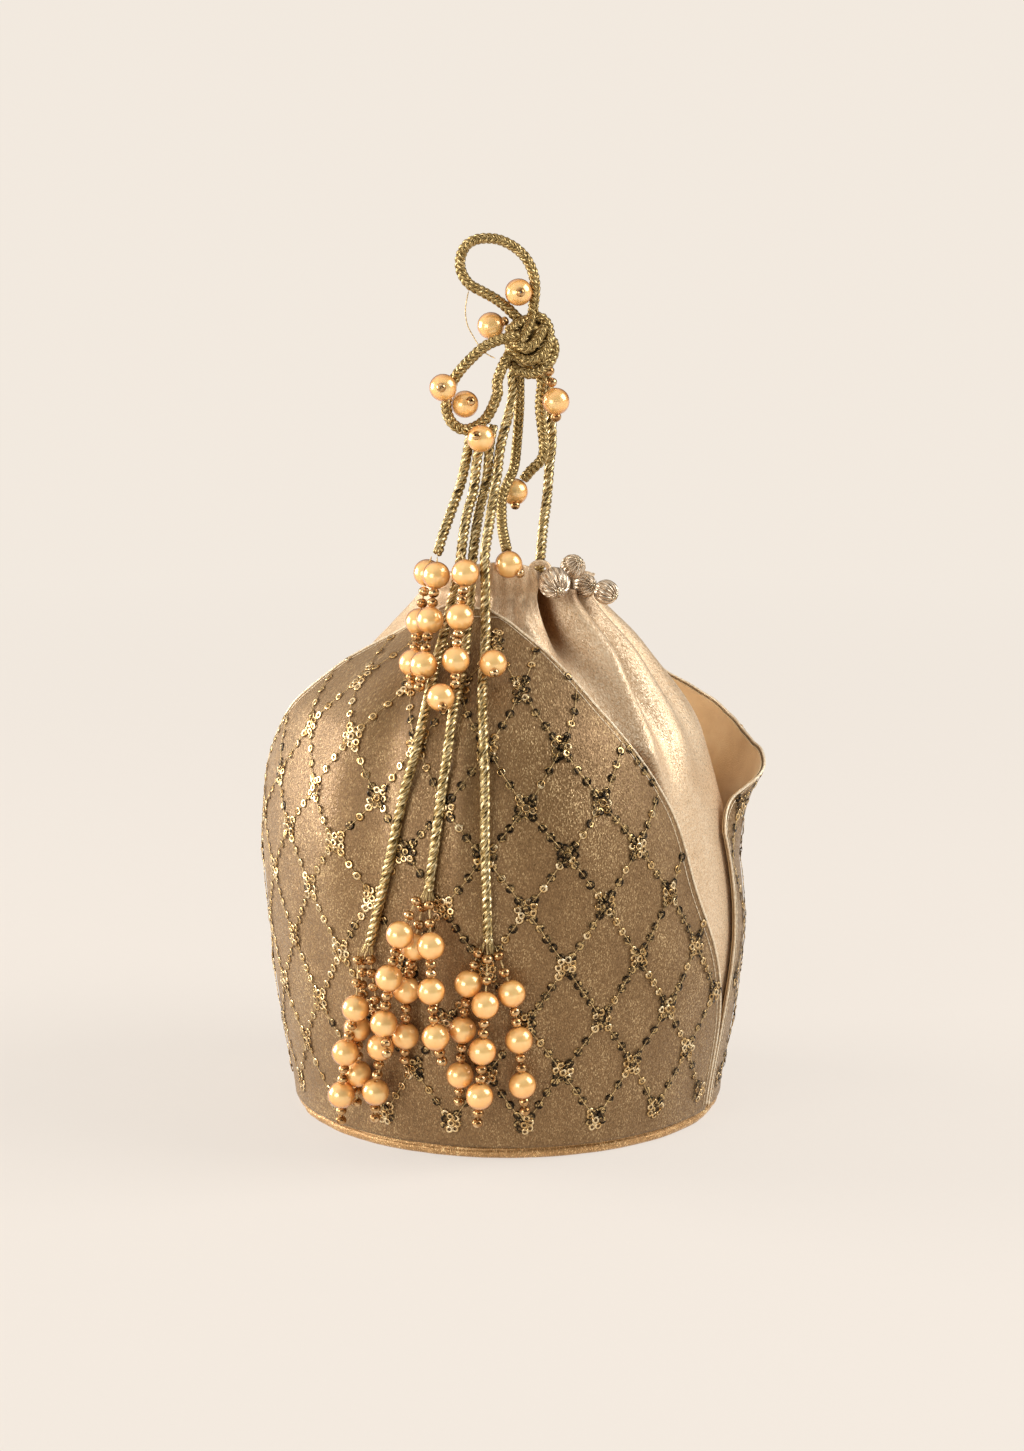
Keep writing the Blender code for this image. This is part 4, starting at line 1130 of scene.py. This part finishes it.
def mouth_ball(name, cad_node, shift, size, axis):
    """A cloth ball whose pleats run to its tip, with a button and a ring of small beads there.

    Its radius is size * (0.92 + 0.16 * (rib(turn) - 0.5) * pleat(down)), where rib is
    |cos(8 * turn)| ** 0.7 with a slight sway; the pleats are deepest near the tip, which is
    drawn in.
    """
    low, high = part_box(cad_node)
    centre = np.array((low + high) / 2.0) / MM + np.array(shift)
    around = np.arange(192) * 1.875
    down = np.linspace(3.0, 177.0, 64)[:, None]
    pleat = 1.25 - smooth_step(20.0, 120.0, down)
    rib = np.abs(np.cos(np.radians(around) * 8.0 + 0.15 * np.sin(np.radians(around) * 3.0))) ** 0.7
    radius = size * (0.92 + 0.16 * (rib - 0.5) * pleat)
    radius = radius - size * 0.16 * np.exp(-(down / 17.0) ** 2)
    reach = radius * np.sin(np.radians(down))
    local = np.stack(np.broadcast_arrays(
        reach * np.cos(np.radians(around)),
        reach * np.sin(np.radians(around)),
        radius * np.cos(np.radians(down)) * 0.97), -1)
    turn = axes_along(axis)
    points = local @ turn.T + centre
    uv = np.broadcast_arrays(np.radians(around)[None, :] * size, np.radians(down) * size)
    obj = grid_object(name, points, BALL_SATIN, wrap=True, uv=uv)
    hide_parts(cad_node)
    template, faces = bead_template(0.62, 0.2, 8, 12)
    tip = centre + turn[:, 2] * size * 0.86
    places = []
    for number in range(6):
        angle = number * math.pi / 3.0
        places.append(tip + (turn[:, 0] * math.cos(angle) + turn[:, 1] * math.sin(angle)) * 1.3)
    frames = np.repeat(turn[None], len(places), 0)
    points, all_faces = copies(template, faces, frames, places)
    new_mesh(name + "_tip_beads", points, all_faces, [PALE_METAL])
    button, button_faces = bead_template(1.05, 0.25, 10, 16, squash=0.8)
    points, all_faces = copies(button, button_faces, [turn], [tip + turn[:, 2] * 0.25])
    new_mesh(name + "_button", points, all_faces, [PALE_METAL])


def cord_hood():
    """The small satin loop at the rim that the draw cord slides through."""
    middle = np.array(ROUTES["draw_cord"][-1])
    angle = np.radians(np.linspace(-65.0, 245.0, 40))
    arch = np.stack([3.3 * np.cos(angle), 0.9 * np.sin(angle * 2.0) * 0.3, 2.5 * np.sin(angle)], -1)
    path, _ = smooth_route(arch + middle + np.array((0.0, -2.6, 0.6)), 0.5)
    _, side, up = carried_frames(path)
    sides = 12
    vertices, faces = closed_tube(path, side, up, 1.05, 0.7875, sides)
    ring = np.broadcast_to(np.arange(sides) * 0.55, (len(path), sides))
    run = np.broadcast_to(np.arange(len(path))[:, None] * 0.5, (len(path), sides))
    new_mesh("cord_hood", vertices, faces, [SATIN], uv=grid_uv(ring, run, True))


# Cords

def wound_ply(path, side, up, angle, radius, thick, wide, sides):
    """A ply that winds round a path at its own angle and distance."""
    out = side * np.cos(angle)[:, None] + up * np.sin(angle)[:, None]
    centre = path + out * radius
    across = np.cross(np.gradient(centre, axis=0), out)
    across /= np.linalg.norm(across, axis=1)[:, None]
    return closed_tube(centre, out, across, thick, wide, sides)


def twisted_cord(path, plies=3, pitch=7.8, offset=0.98, ply_radius=0.98):
    """A rope of plies wound round a path, and the length along it."""
    _, side, up = carried_frames(path)
    run = run_along(path)
    parts = []
    for number in range(plies):
        angle = 2.0 * math.pi * (run / pitch + number / plies)
        parts.append(wound_ply(path, side, up, angle, offset, ply_radius, ply_radius, PLY_SIDES))
    return parts, run


def braided_cord(path, carriers=4, pitch=8.4, middle=1.28, weave_depth=0.34, thick=0.50, wide=0.78):
    """A tubular braid: strands wind both ways and pass over two and under two, in columns of Vs.

    A strand's distance from the middle is middle + hand * weave_depth * cos(2 * angle + 45 deg).
    """
    _, side, up = carried_frames(path)
    run = run_along(path)
    parts = []
    for hand in (1.0, -1.0):
        for number in range(carriers):
            angle = hand * 2.0 * math.pi * run / pitch + 2.0 * math.pi * number / carriers
            radius = middle + hand * weave_depth * np.cos(2.0 * angle + math.pi / 4.0)
            parts.append(wound_ply(path, side, up, angle, radius[:, None], thick, wide, BRAID_SIDES))
    parts.append(closed_tube(path, side, up, 0.60, 0.60, BRAID_SIDES))
    return parts, run


def cord_uv(parts, run, sides, turns):
    """UV of tubes: across the tube's ring, sheared so that filaments twist, and along its run."""
    chunks = []
    for _ in parts:
        ring = np.broadcast_to(np.arange(sides) * (3.0 / sides), (len(run), sides))
        along = np.broadcast_to(run[:, None], (len(run), sides))
        chunks.append(grid_uv(ring + along * turns, along, True))
    return np.concatenate(chunks)


def cord(name, cad_node, points, braid):
    """A free cord along its chosen route, twisted or braided, which stands for its CAD tube."""
    path, length = smooth_route(points, CORD_STEP)
    parts, run = braided_cord(path) if braid else twisted_cord(path)
    vertices, faces, _ = stack(parts)
    uv = cord_uv(parts, run, BRAID_SIDES if braid else PLY_SIDES, FILAMENT_TWIST)
    obj = new_mesh(name, vertices, faces, [BRAID if braid else CORD], uv=uv)
    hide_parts(cad_node)


# The cords' routes: the frame's, but for the loop's right-hand end, which runs into the knot
ROUTES = {
    "handle_loop": [
        knot_exit(0.1, 0.2, 1.0), (9.3, 0.8, 299.4), (9.9, 0, 305), (9.3, 0, 310.5),
        (6.9, 0, 316), (2.8, 0, 320.2),
        (-2.6, 0, 323), (-7.1, 0, 323.7), (-11.6, 0, 323.2), (-15.2, 0, 321), (-17.2, 0, 316.6),
        (-16.9, 0, 311.6),
        (-14.1, 0, 307.2), (-9.5, 0, 304.5), (-4.6, 0, 301.8), (-0.6, 0, 298.8), (2.4, 0.4, 295.8),
        (5.0, 1.4, 292.6), (6.6, 2.0, 289.0),
    ],
    "bow_loop": [
        knot_exit(-0.6, -0.8, 0.5), knot_exit(-0.6, -0.8, 0.5, 2.5), (-7, -11.5, 286.5), (-13.7, -12, 281),
        (-19.2, -12, 274.3), (-22.3, -12, 266.3), (-21, -12, 259), (-15.6, -11.5, 255.4),
        (-8.3, -11, 259), (-3.9, -11, 268), (-3.8, -10, 273), knot_exit(-0.95, -0.75, -0.45, 2.5),
        knot_exit(-0.95, -0.75, -0.45),
    ],
    "tassel_cord_right": [
        knot_exit(-0.55, -0.4, -1.0), knot_exit(-0.55, -0.4, -1.0, 2.5), (1.6, -5, 266), (-2.5, -9, 249.7),
        (-3.8, -15, 240), (-5.2, -22, 232), (-6.6, -31, 224), (-8.2, -42, 214), (-8, -45, 204),
        (-8, -47, 193), on_cloth(-8, 184, 5.5), on_cloth(-9, 171, 5), on_cloth(-8.5, 156, 3.4),
        on_cloth(-8, 140, 2.5), on_cloth(-8, 120, 2.2), on_cloth(-7.5, 100, 2.2), on_cloth(-7, 84, 2.2),
    ],
    "tassel_cord_middle": [
        (-5.4, -9.5, 257), (-6.7, -10, 249), (-7.6, -13, 238), (-10.4, -21, 226.5), (-11.9, -32, 218.2),
        (-13, -40, 208), (-13.4, -42, 199),
        (-14.4, -48, 189), on_cloth(-16, 177, 5.4), on_cloth(-19, 165, 4.4),
        on_cloth(-21, 152, 3.2), on_cloth(-23, 139, 2.2), on_cloth(-25.3, 122, 2.2), on_cloth(-28, 102, 2.2),
    ],
    "tassel_cord_left": [
        (-9.6, -8.5, 255.3), (-11.4, -12.8, 243), (-12.4, -18, 234.2), (-14.8, -26, 226.3),
        (-16.2, -34, 218.5),
        (-17.4, -37.5, 209), (-19.4, -37, 200), (-22, -42, 189.5), on_cloth(-25, 179, 5.6),
        on_cloth(-29, 164, 4.4), on_cloth(-32.5, 150, 3.2), on_cloth(-37, 134, 2.2), on_cloth(-41, 116, 2.2),
        on_cloth(-45, 98, 2.2), on_cloth(-49.5, 79, 2.2),
    ],
    "short_tassel_cord": [
        (-13.8, -10.5, 253.0), (-14.8, -10, 246.4), (-17, -14, 236.3), (-20.4, -22, 227.2),
        (-23.8, -31, 218.5),
        (-25.2, -35.5, 213.6),
    ],
    "pearl_cord": [
        knot_exit(-0.3, 0.5, -1.0), knot_exit(-0.3, 0.5, -1.0, 2.5), (4.2, 3.5, 262), (3.3, 2, 248.5),
        (2.2, -2, 240), (-0.6, -6, 234), (-2.2, -10, 229), (-2, -20, 220.8), (-0.3, -33.3, 214.3),
    ],
    "branch_cord": [
        knot_exit(0.3, -0.1, -1.0), knot_exit(0.3, -0.1, -1.0, 2.5), (11.8, 0, 262), (13.2, -1, 248.5),
        (12.3, -1, 243), (8.5, -0.5, 238.9), (5.6, 0, 235.2),
    ],
    "draw_cord": [
        knot_exit(0.55, 0.6, -1.0), knot_exit(0.55, 0.6, -1.0, 2.5), (15.8, 6.5, 258), (16.1, 6.5, 247.7),
        (15.3, 6, 239.9), (14.4, 2, 228.1), (13, -9, 219.5), (12, -21, 211), (11.6, -28.0, 206.6),
    ],
}
BRAIDED = ("handle_loop", "bow_loop", "pearl_cord", "branch_cord")

KNOT_TURNS = [
    # The loop's right leg, down the front and in
    [(8.9, 1.4, 297.0), (8.6, 0.4, 294.6), (7.2, -4.2, 291.2), (5.2, -6.4, 287.6),
     (4.0, -4.6, 284.2), (4.4, -1.0, 281.6)],
    # The bow's upper cord, over the top and down the right side
    [(-0.4, -4.6, 290.0), (3.8, -3.0, 293.0), (7.6, 1.0, 294.2), (11.6, 1.2, 295.0), (14.6, -1.0, 291.8),
     (15.0, -3.6, 286.0), (12.6, -5.6, 280.4), (9.0, -3.0, 278.2)],
    # Two turns across the middle
    [(13.0, -2.0, 291.6), (12.0, -5.0, 289.6), (10.0, -7.2, 286.6), (6.8, -7.8, 284.6),
     (3.4, -6.4, 285.8), (1.0, -2.5, 288.0), (0.6, 1.5, 288.6)],
    [(13.8, -2.6, 286.8), (12.0, -6.2, 282.4), (8.4, -7.6, 280.2), (4.2, -6.8, 281.0),
     (1.2, -3.4, 284.0), (0.4, 0.6, 285.6)],
    # The turn round the bottom and up the right
    [(1.0, 1.6, 283.0), (0.4, -2.0, 280.6), (1.8, -4.8, 277.6), (5.0, -6.4, 275.8),
     (9.0, -6.8, 275.2), (13.0, -6.0, 276.8), (16.0, -4.0, 280.4), (17.0, -1.6, 284.2),
     (15.8, 1.4, 286.8), (12.4, 3.6, 287.8)],
    # The far side
    [(2.0, 3.2, 292.6), (8.0, 4.4, 293.4), (12.6, 3.8, 291.0), (14.2, 3.6, 285.6),
     (12.2, 3.4, 279.4), (7.0, 4.8, 276.6), (2.2, 3.4, 279.6), (2.4, 4.4, 286.0)],
]


def knot():
    """The knot: lengths of the same braided cord laid over each other round a solid core."""
    parts = []
    uvs = []
    for turn in KNOT_TURNS:
        path, _ = smooth_route(turn, CORD_STEP)
        tubes, run = braided_cord(path)
        parts += tubes
        uvs.append(cord_uv(tubes, run, BRAID_SIDES, FILAMENT_TWIST))
    template, faces = bead_template(1.0, 0.2, 12, 18)
    parts.append((template * KNOT_CORE_RADII + KNOT_CENTRE, faces))
    uvs.append(np.zeros((len(faces) * 4, 2)))
    vertices, all_faces, _ = stack(parts)
    obj = new_mesh("knot_turns", vertices, all_faces, [BRAID], uv=np.concatenate(uvs))
    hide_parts("cord_knot")


# Beads

# Strands that lie on the front petal: their stations' X, height and stand-off, seeds at the top
STRANDS_ON_CLOTH = {
    "right_tassel_strand_a": (2, [(-9.5, 83.3, 2.2), (-14, 69.5, 5.1), (-16, 52, 5.1), (-17, 34.5, 5.1),
                                  (-17.6, 21.5, 3)]),
    "right_tassel_strand_b": (2, [(-7, 83.3, 3.2), (-8, 63, 9.8), (-9, 45.5, 9.8), (-10, 28, 9.8),
                                  (-11, 15, 8)]),
    "right_tassel_strand_c": (2, [(-4.5, 83.3, 2.2), (1.4, 66, 5.1), (4, 48.5, 5.1), (5.2, 31, 5.1),
                                  (6.2, 18.5, 3)]),
    "middle_tassel_strand_a": (2, [(-30.8, 101.5, 2.6), (-38, 88, 12.6), (-42, 71.5, 12.6),
                                   (-44, 54, 12.6), (-42.5, 42.5, 17.5)]),
    "middle_tassel_strand_b": (2, [(-27.8, 101.3, 2.9), (-27, 85, 12.6), (-27, 68, 12.6),
                                   (-25.5, 51, 12.6), (-23, 39.5, 10)]),
    "middle_tassel_strand_c": (2, [(-29.4, 99.6, 0.8), (-33, 82, 5.5), (-36, 65.5, 5.5),
                                   (-36.5, 48, 5.5), (-37, 36, 3)]),
    "left_tassel_strand_a": (2, [(-53.2, 79.0, 5.6), (-54.2, 57.8, 12), (-58.2, 40, 12), (-60, 22.5, 12),
                                 (-60.5, 9.5, 10)]),
    "left_tassel_strand_b": (6, [(-49.3, 77.5, 3.6), (-45.5, 43, 8), (-47.5, 25, 8), (-48, 12, 6)]),
    "left_tassel_strand_c": (5, [(-51.0, 76.2, 1.6), (-54.0, 48, 5.6), (-54.0, 30, 5.6), (-55, 15, 3.5)]),
}
# Strands that hang free: seeds at the top, and the stations
FREE_STRANDS = {
    "upper_tassel_strand_a": (0, [(-25.4, -35.9, 213.15), (-25.7, -40, 206.6), (-27.8, -49.5, 192),
                                  (-29.8, -66.5, 179), (-31.4, -75, 171.5)]),
    "upper_tassel_strand_b": (0, [(-27.4, -34.6, 212.8), (-29.2, -30, 205.8), (-32, -39.6, 189.5),
                                  (-34, -57, 177.9), (-34.5, -67.5, 170.5)]),
    "upper_tassel_strand_c": (0, [(-16.9, -39.5, 215.6), (-15.2, -47.6, 208.8), (-17, -57, 194.5),
                                  (-18.4, -68, 180.9), (-18.6, -75.5, 172.2)]),
    "knot_drop": (2, [knot_exit(0.75, -0.5, -0.7), (17.5, -6, 265), (17.5, -6, 258.5)]),
}
# Centre of each single pearl, and the direction in which its hole and closing seed face
SINGLE_PEARLS = {
    "low_pearl_left": ((-23.6, -77.4, 169.6), (0.12, -0.88, -0.38)),
    "low_pearl_right": ((-5.2, -68.3, 179.9), (0.08, -0.90, -0.38)),
    "cord_end_pearl": ((0.3, -37.2, 210.1), (0.72, -0.52, -0.48)),
    "branch_end_pearl": ((2.4, 0.3, 230.8), (0.05, -0.6, -0.75)),
    "loop_pearl": ((3.9, -2.2, 304.4), (0.1, -0.98, 0.1)),
    "knot_pearl": ((-6.2, 2.3, 291.7), (0.80, -0.35, 0.30)),
    "bow_pearl_left": ((-23.4, -18.2, 271.6), (-0.10, -0.98, 0.12)),
    "bow_pearl_inner": ((-15.6, -9.4, 264.4), (0.35, -0.85, 0.30)),
    "bow_pearl_low": ((-9.8, -17.0, 252.9), (-0.25, -0.90, 0.30)),
}
PEARL_TEMPLATE = bead_template(PEARL_RADIUS, 0.45, 20, 32)
SEED_TEMPLATE = bead_template(SEED_RADIUS * 1.08, 0.5, 10, 16, squash=0.86)
CLOSING_SEED_TEMPLATE = bead_template(1.75, 0.45, 10, 16, squash=0.8)


def beads_object(name, cad_node, parts, materials):
    """One object of several parts, each part in the material of its place in the list."""
    vertices, faces, counts = stack(parts)
    slots = np.concatenate([np.full(n, k) for k, n in enumerate(counts)])
    obj = new_mesh(name, vertices, faces, materials, face_slots=slots)
    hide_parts(cad_node)


def bead_string(name, cad_node, stations, seeds_first, seeds_last=2):
    """A strand: pearls at its middle stations, seed beads between them and its thread."""
    stations = [np.array(s, float) for s in stations]
    pearls = []
    seeds = []
    last = len(stations) - 1
    for index in range(1, last + 1):
        begin, end = stations[index - 1], stations[index]
        gap = np.linalg.norm(end - begin)
        along = (end - begin) / gap
        start_skip = 0.8 if index == 1 else PEARL_RADIUS
        end_skip = 0.0 if index == last else PEARL_RADIUS
        count = seeds_first if index == 1 else (seeds_last if index == last else 2)
        room = gap - start_skip - end_skip
        for number in range(count):
            centre = begin + along * (start_skip + room * (number + 0.5) / count)
            seeds.append((centre, axes_along(along + rng.normal(0.0, 0.16, 3))))
        if index != last:
            ahead = stations[index + 1] - begin
            pearls.append((end, axes_along(ahead + rng.normal(0.0, 1.5, 3))))
    groups = [(PEARL_TEMPLATE, pearls), (SEED_TEMPLATE, seeds)]
    parts = [copies(*shape, [f for _, f in items], [c for c, _ in items]) for shape, items in groups]
    parts.append(plain_tube(stations, THREAD_RADIUS, sides=6, spacing=2.0))
    beads_object(name, cad_node, parts, [PEARL, COPPER, THREAD])


def single_pearl(name, cad_node, centre, seed_toward):
    """A pearl sewn on with a seed bead that closes its hole."""
    centre = np.array(centre, float)
    turn = axes_along(seed_toward)
    seed_centre = centre + turn[:, 2] * (PEARL_RADIUS + 0.9)
    parts = [copies(*PEARL_TEMPLATE, [turn], [centre]), copies(*CLOSING_SEED_TEMPLATE, [turn], [seed_centre])]
    beads_object(name, cad_node, parts, [PEARL, COPPER])


def cord_tuft(name, cord_name, spread):
    """The frayed end of a tassel cord: fine filaments that fan out over the first seed beads."""
    local = np.random.default_rng(SEED + len(name))
    before, end = (np.array(p, float) for p in ROUTES[cord_name][-2:])
    along = (end - before) / np.linalg.norm(end - before)
    turn = axes_along(along)
    parts = []
    for _ in range(26):
        angle = local.uniform(0.0, 2.0 * math.pi)
        out = turn[:, 0] * math.cos(angle) + turn[:, 1] * math.sin(angle)
        reach = local.uniform(0.4, 1.0) * spread
        fall = local.uniform(2.0, 4.6)
        start = end - along * 1.2 + out * 1.1
        middle = end + along * fall * 0.4 + out * (1.3 + reach * 0.5)
        tip = end + along * fall + out * (1.1 + reach)
        parts.append(plain_tube([start, middle, tip], 0.17, sides=5, spacing=0.8))
    vertices, faces, _ = stack(parts)
    new_mesh(name, vertices, faces, [CORD])


def loose_thread():
    """The thin loose thread that hangs from the loop to the knot."""
    route = [
        (-14.2, -1.0, 305.0), (-15.4, -2.0, 298.5), (-14.8, -3.0, 293.0), (-12.6, -4.0, 288.6),
        (-9.0, -6.0, 283.4), (-4.4, -9.0, 281.0),
    ]
    vertices, faces = plain_tube(route, 0.22, sides=5, spacing=1.0)
    new_mesh("loose_thread", vertices, faces, [THREAD])


def build_bag():
    """Every piece of the bag."""
    pouch()
    pouch_lining()
    base_panel()
    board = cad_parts["base_board"].data
    board.materials.clear()
    board.materials.append(BOARD)
    petal_cloth("front_petal", ("front_petal", "front_petal_lining"), front_petal_grid, PETAL_AZIMUTH)
    petal_cloth("back_petal", ("back_petal", "back_petal_lining"), back_petal_grid, BACK_AZIMUTH)
    petal_edge("front_petal_piping", front_petal_grid, eyelet=(13.2, 184.5))
    petal_edge("back_petal_piping", back_petal_grid)
    petal_sequins("front_petal", front_petal_point, in_front_petal, PETAL_AZIMUTH, 31)
    petal_sequins("back_petal", back_petal_point, in_back_petal, BACK_AZIMUTH, 47)
    for place, shift, size, axis in MOUTH_BALLS:
        mouth_ball(place + "_ball", "mouth_ball_" + place, shift, size, axis)
    cord_hood()
    knot()
    for name, route in ROUTES.items():
        cord(name + "_yarn", name, route, name in BRAIDED)
    for name, (seeds_first, stations) in STRANDS_ON_CLOTH.items():
        bead_string(name + "_beads", name, [on_cloth(*s) for s in stations], seeds_first)
    for name, (seeds_first, stations) in FREE_STRANDS.items():
        bead_string(name + "_beads", name, stations, seeds_first, seeds_last=1 if name == "knot_drop" else 2)
    for name, (centre, toward) in SINGLE_PEARLS.items():
        single_pearl(name + "_bead", name, centre, toward)
    cord_tuft("right_tuft", "tassel_cord_right", 1.6)
    cord_tuft("middle_tuft", "tassel_cord_middle", 1.8)
    cord_tuft("left_tassel_tuft", "tassel_cord_left", 1.7)
    loose_thread()


# Stage, light and camera

CREAM = (0.870, 0.803, 0.732)
FAR_CREAM = (0.890, 0.818, 0.737)
FLOOR_RADIUS = 20000.0
FLOOR_FADE = (0.35, 1.15)
FLOOR_PLAIN_SHARE = 0.76
WORLD_FILL = 0.46
ROOM_SHADES = [
    (0.0, (0.02, 0.015, 0.012)), (0.25, (0.05, 0.04, 0.03)),
    (0.6, (0.55, 0.50, 0.43)), (1.0, (1.2, 1.1, 1.0)),
]
ROOM_TOP = (-0.55, 0.15, 0.80)

# Camera: aim and distance in metres, lens in millimetres
CAMERA_TARGET = Vector((0.0015, 0.0, 0.143))
CAMERA_DISTANCE = 1.5
CAMERA_RISE_DEG = 12.0
CAMERA_LENS = 100.0

# Softboxes: name, place, target, size, power, colour
SOFTBOXES = [
    ("key_softbox", (1.28, -0.14, 1.00), (0.0, 0.0, 0.11), 1.05, 21.0, (1.0, 0.97, 0.93)),
    ("left_softbox", (-1.50, 0.34, 0.34), (0.0, 0.0, 0.06), 0.9, 29.0, (1.0, 0.95, 0.88)),
    ("front_fill", (-1.15, -1.35, 0.26), (-0.03, 0.0, 0.06), 0.9, 15.0, (1.0, 0.95, 0.88)),
]


def mix_of(tree, share, first, second):
    """The second shader by a share, and the first for the rest."""
    mix = tree.nodes.new("ShaderNodeMixShader")
    for socket, source in zip(mix.inputs, (share, first, second)):
        tree.links.new(source, socket)
    return mix.outputs["Shader"]


def floor():
    """A plain cream floor that runs to the horizon and keeps the bag's soft shadow.

    To the camera and to reflections it is partly one plain colour, and that share grows with
    the distance from the bag until the floor meets the background.
    """
    material, tree, principled = shader("pale_floor", CREAM, 0.95, 0.0, Specular_IOR_Level=0.1)
    place = object_place(tree)
    bump(tree, principled, noise(tree, place, 60.0, 4.0), 0.12, 0.002)
    away = node(tree, "ShaderNodeVectorMath", operation="LENGTH")
    tree.links.new(place, away.inputs[0])
    far = value_range(tree, away.outputs["Value"], *FLOOR_FADE, 0.0, 1.0)
    plain = node(tree, "ShaderNodeEmission", Strength=1.0)
    tree.links.new(ramp(tree, far, [(0.0, CREAM), (1.0, FAR_CREAM)]), plain.inputs["Color"])
    path = tree.nodes.new("ShaderNodeLightPath")
    seen = math_node(tree, "MAXIMUM", path.outputs["Is Camera Ray"], path.outputs["Is Glossy Ray"])
    share = math_node(tree, "MULTIPLY", seen, value_range(tree, far, 0.0, 1.0, FLOOR_PLAIN_SHARE, 1.0))
    mixed = mix_of(tree, share, principled.outputs["BSDF"], plain.outputs["Emission"])
    tree.links.new(mixed, tree.nodes["Material Output"].inputs["Surface"])
    sides = 96
    radius = FLOOR_RADIUS * (np.linspace(0.0, 1.0, 40)[:, None] ** 2.5) + 5.0
    points = polar(radius, np.arange(sides) * 360.0 / sides, 0.0)
    mesh = bpy.data.meshes.new("floor")
    faces = grid_faces(*points.shape[:2], True).tolist() + [list(range(sides - 1, -1, -1))]
    mesh.from_pydata((points.reshape(-1, 3) * MM).tolist(), [], faces)
    mesh.materials.append(material)
    obj = bpy.data.objects.new("floor", mesh)
    bpy.context.scene.collection.objects.link(obj)


def area_light(name, place, target, size, power, colour):
    """A square softbox aimed at a point, in metres."""
    data = bpy.data.lights.new(name, "AREA")
    data.shape = "SQUARE"
    data.size = size
    data.energy = power
    data.color = colour
    obj = bpy.data.objects.new(name, data)
    obj.location = place
    obj.rotation_euler = (Vector(target) - Vector(place)).to_track_quat("-Z", "Y").to_euler()
    bpy.context.scene.collection.objects.link(obj)


def world_light():
    """Soft studio surround: reflections see a darker room with a bright top, the camera plain cream."""
    world = bpy.data.worlds.new("studio")
    bpy.context.scene.world = world
    world.use_nodes = True
    tree = world.node_tree
    fill = tree.nodes["Background"]
    fill.inputs["Color"].default_value = (1.0, 0.94, 0.87, 1.0)
    fill.inputs["Strength"].default_value = WORLD_FILL
    room = tree.nodes.new("ShaderNodeBackground")
    lean = node(tree, "ShaderNodeVectorMath", operation="DOT_PRODUCT")
    lean.inputs[1].default_value = ROOM_TOP
    tree.links.new(tree.nodes.new("ShaderNodeTexCoord").outputs["Generated"], lean.inputs[0])
    tree.links.new(ramp(tree, lean.outputs["Value"], ROOM_SHADES), room.inputs["Color"])
    seen = node(tree, "ShaderNodeBackground", Color=(*FAR_CREAM, 1.0))
    path = tree.nodes.new("ShaderNodeLightPath").outputs
    lit = mix_of(tree, path["Is Glossy Ray"], fill.outputs["Background"], room.outputs["Background"])
    shown = mix_of(tree, path["Is Camera Ray"], lit, seen.outputs["Background"])
    tree.links.new(shown, tree.nodes["World Output"].inputs["Surface"])


def camera():
    """The camera where the photo was taken from, a little above the bag."""
    data = bpy.data.cameras.new("camera")
    data.lens = CAMERA_LENS
    data.sensor_width = 36.0
    data.clip_start = 0.05
    data.clip_end = 20.0
    obj = bpy.data.objects.new("camera", data)
    bpy.context.scene.collection.objects.link(obj)
    rise = math.radians(CAMERA_RISE_DEG)
    back = Vector((0.0, -math.cos(rise), math.sin(rise)))
    obj.location = CAMERA_TARGET + back * CAMERA_DISTANCE
    obj.rotation_euler = (-back).to_track_quat("-Z", "Y").to_euler()
    bpy.context.scene.camera = obj


def studio():
    """Floor, lights and camera."""
    floor()
    for softbox in SOFTBOXES:
        area_light(*softbox)
    world_light()
    camera()
    bpy.context.scene.view_settings.view_transform = "Standard"


build_bag()
studio()
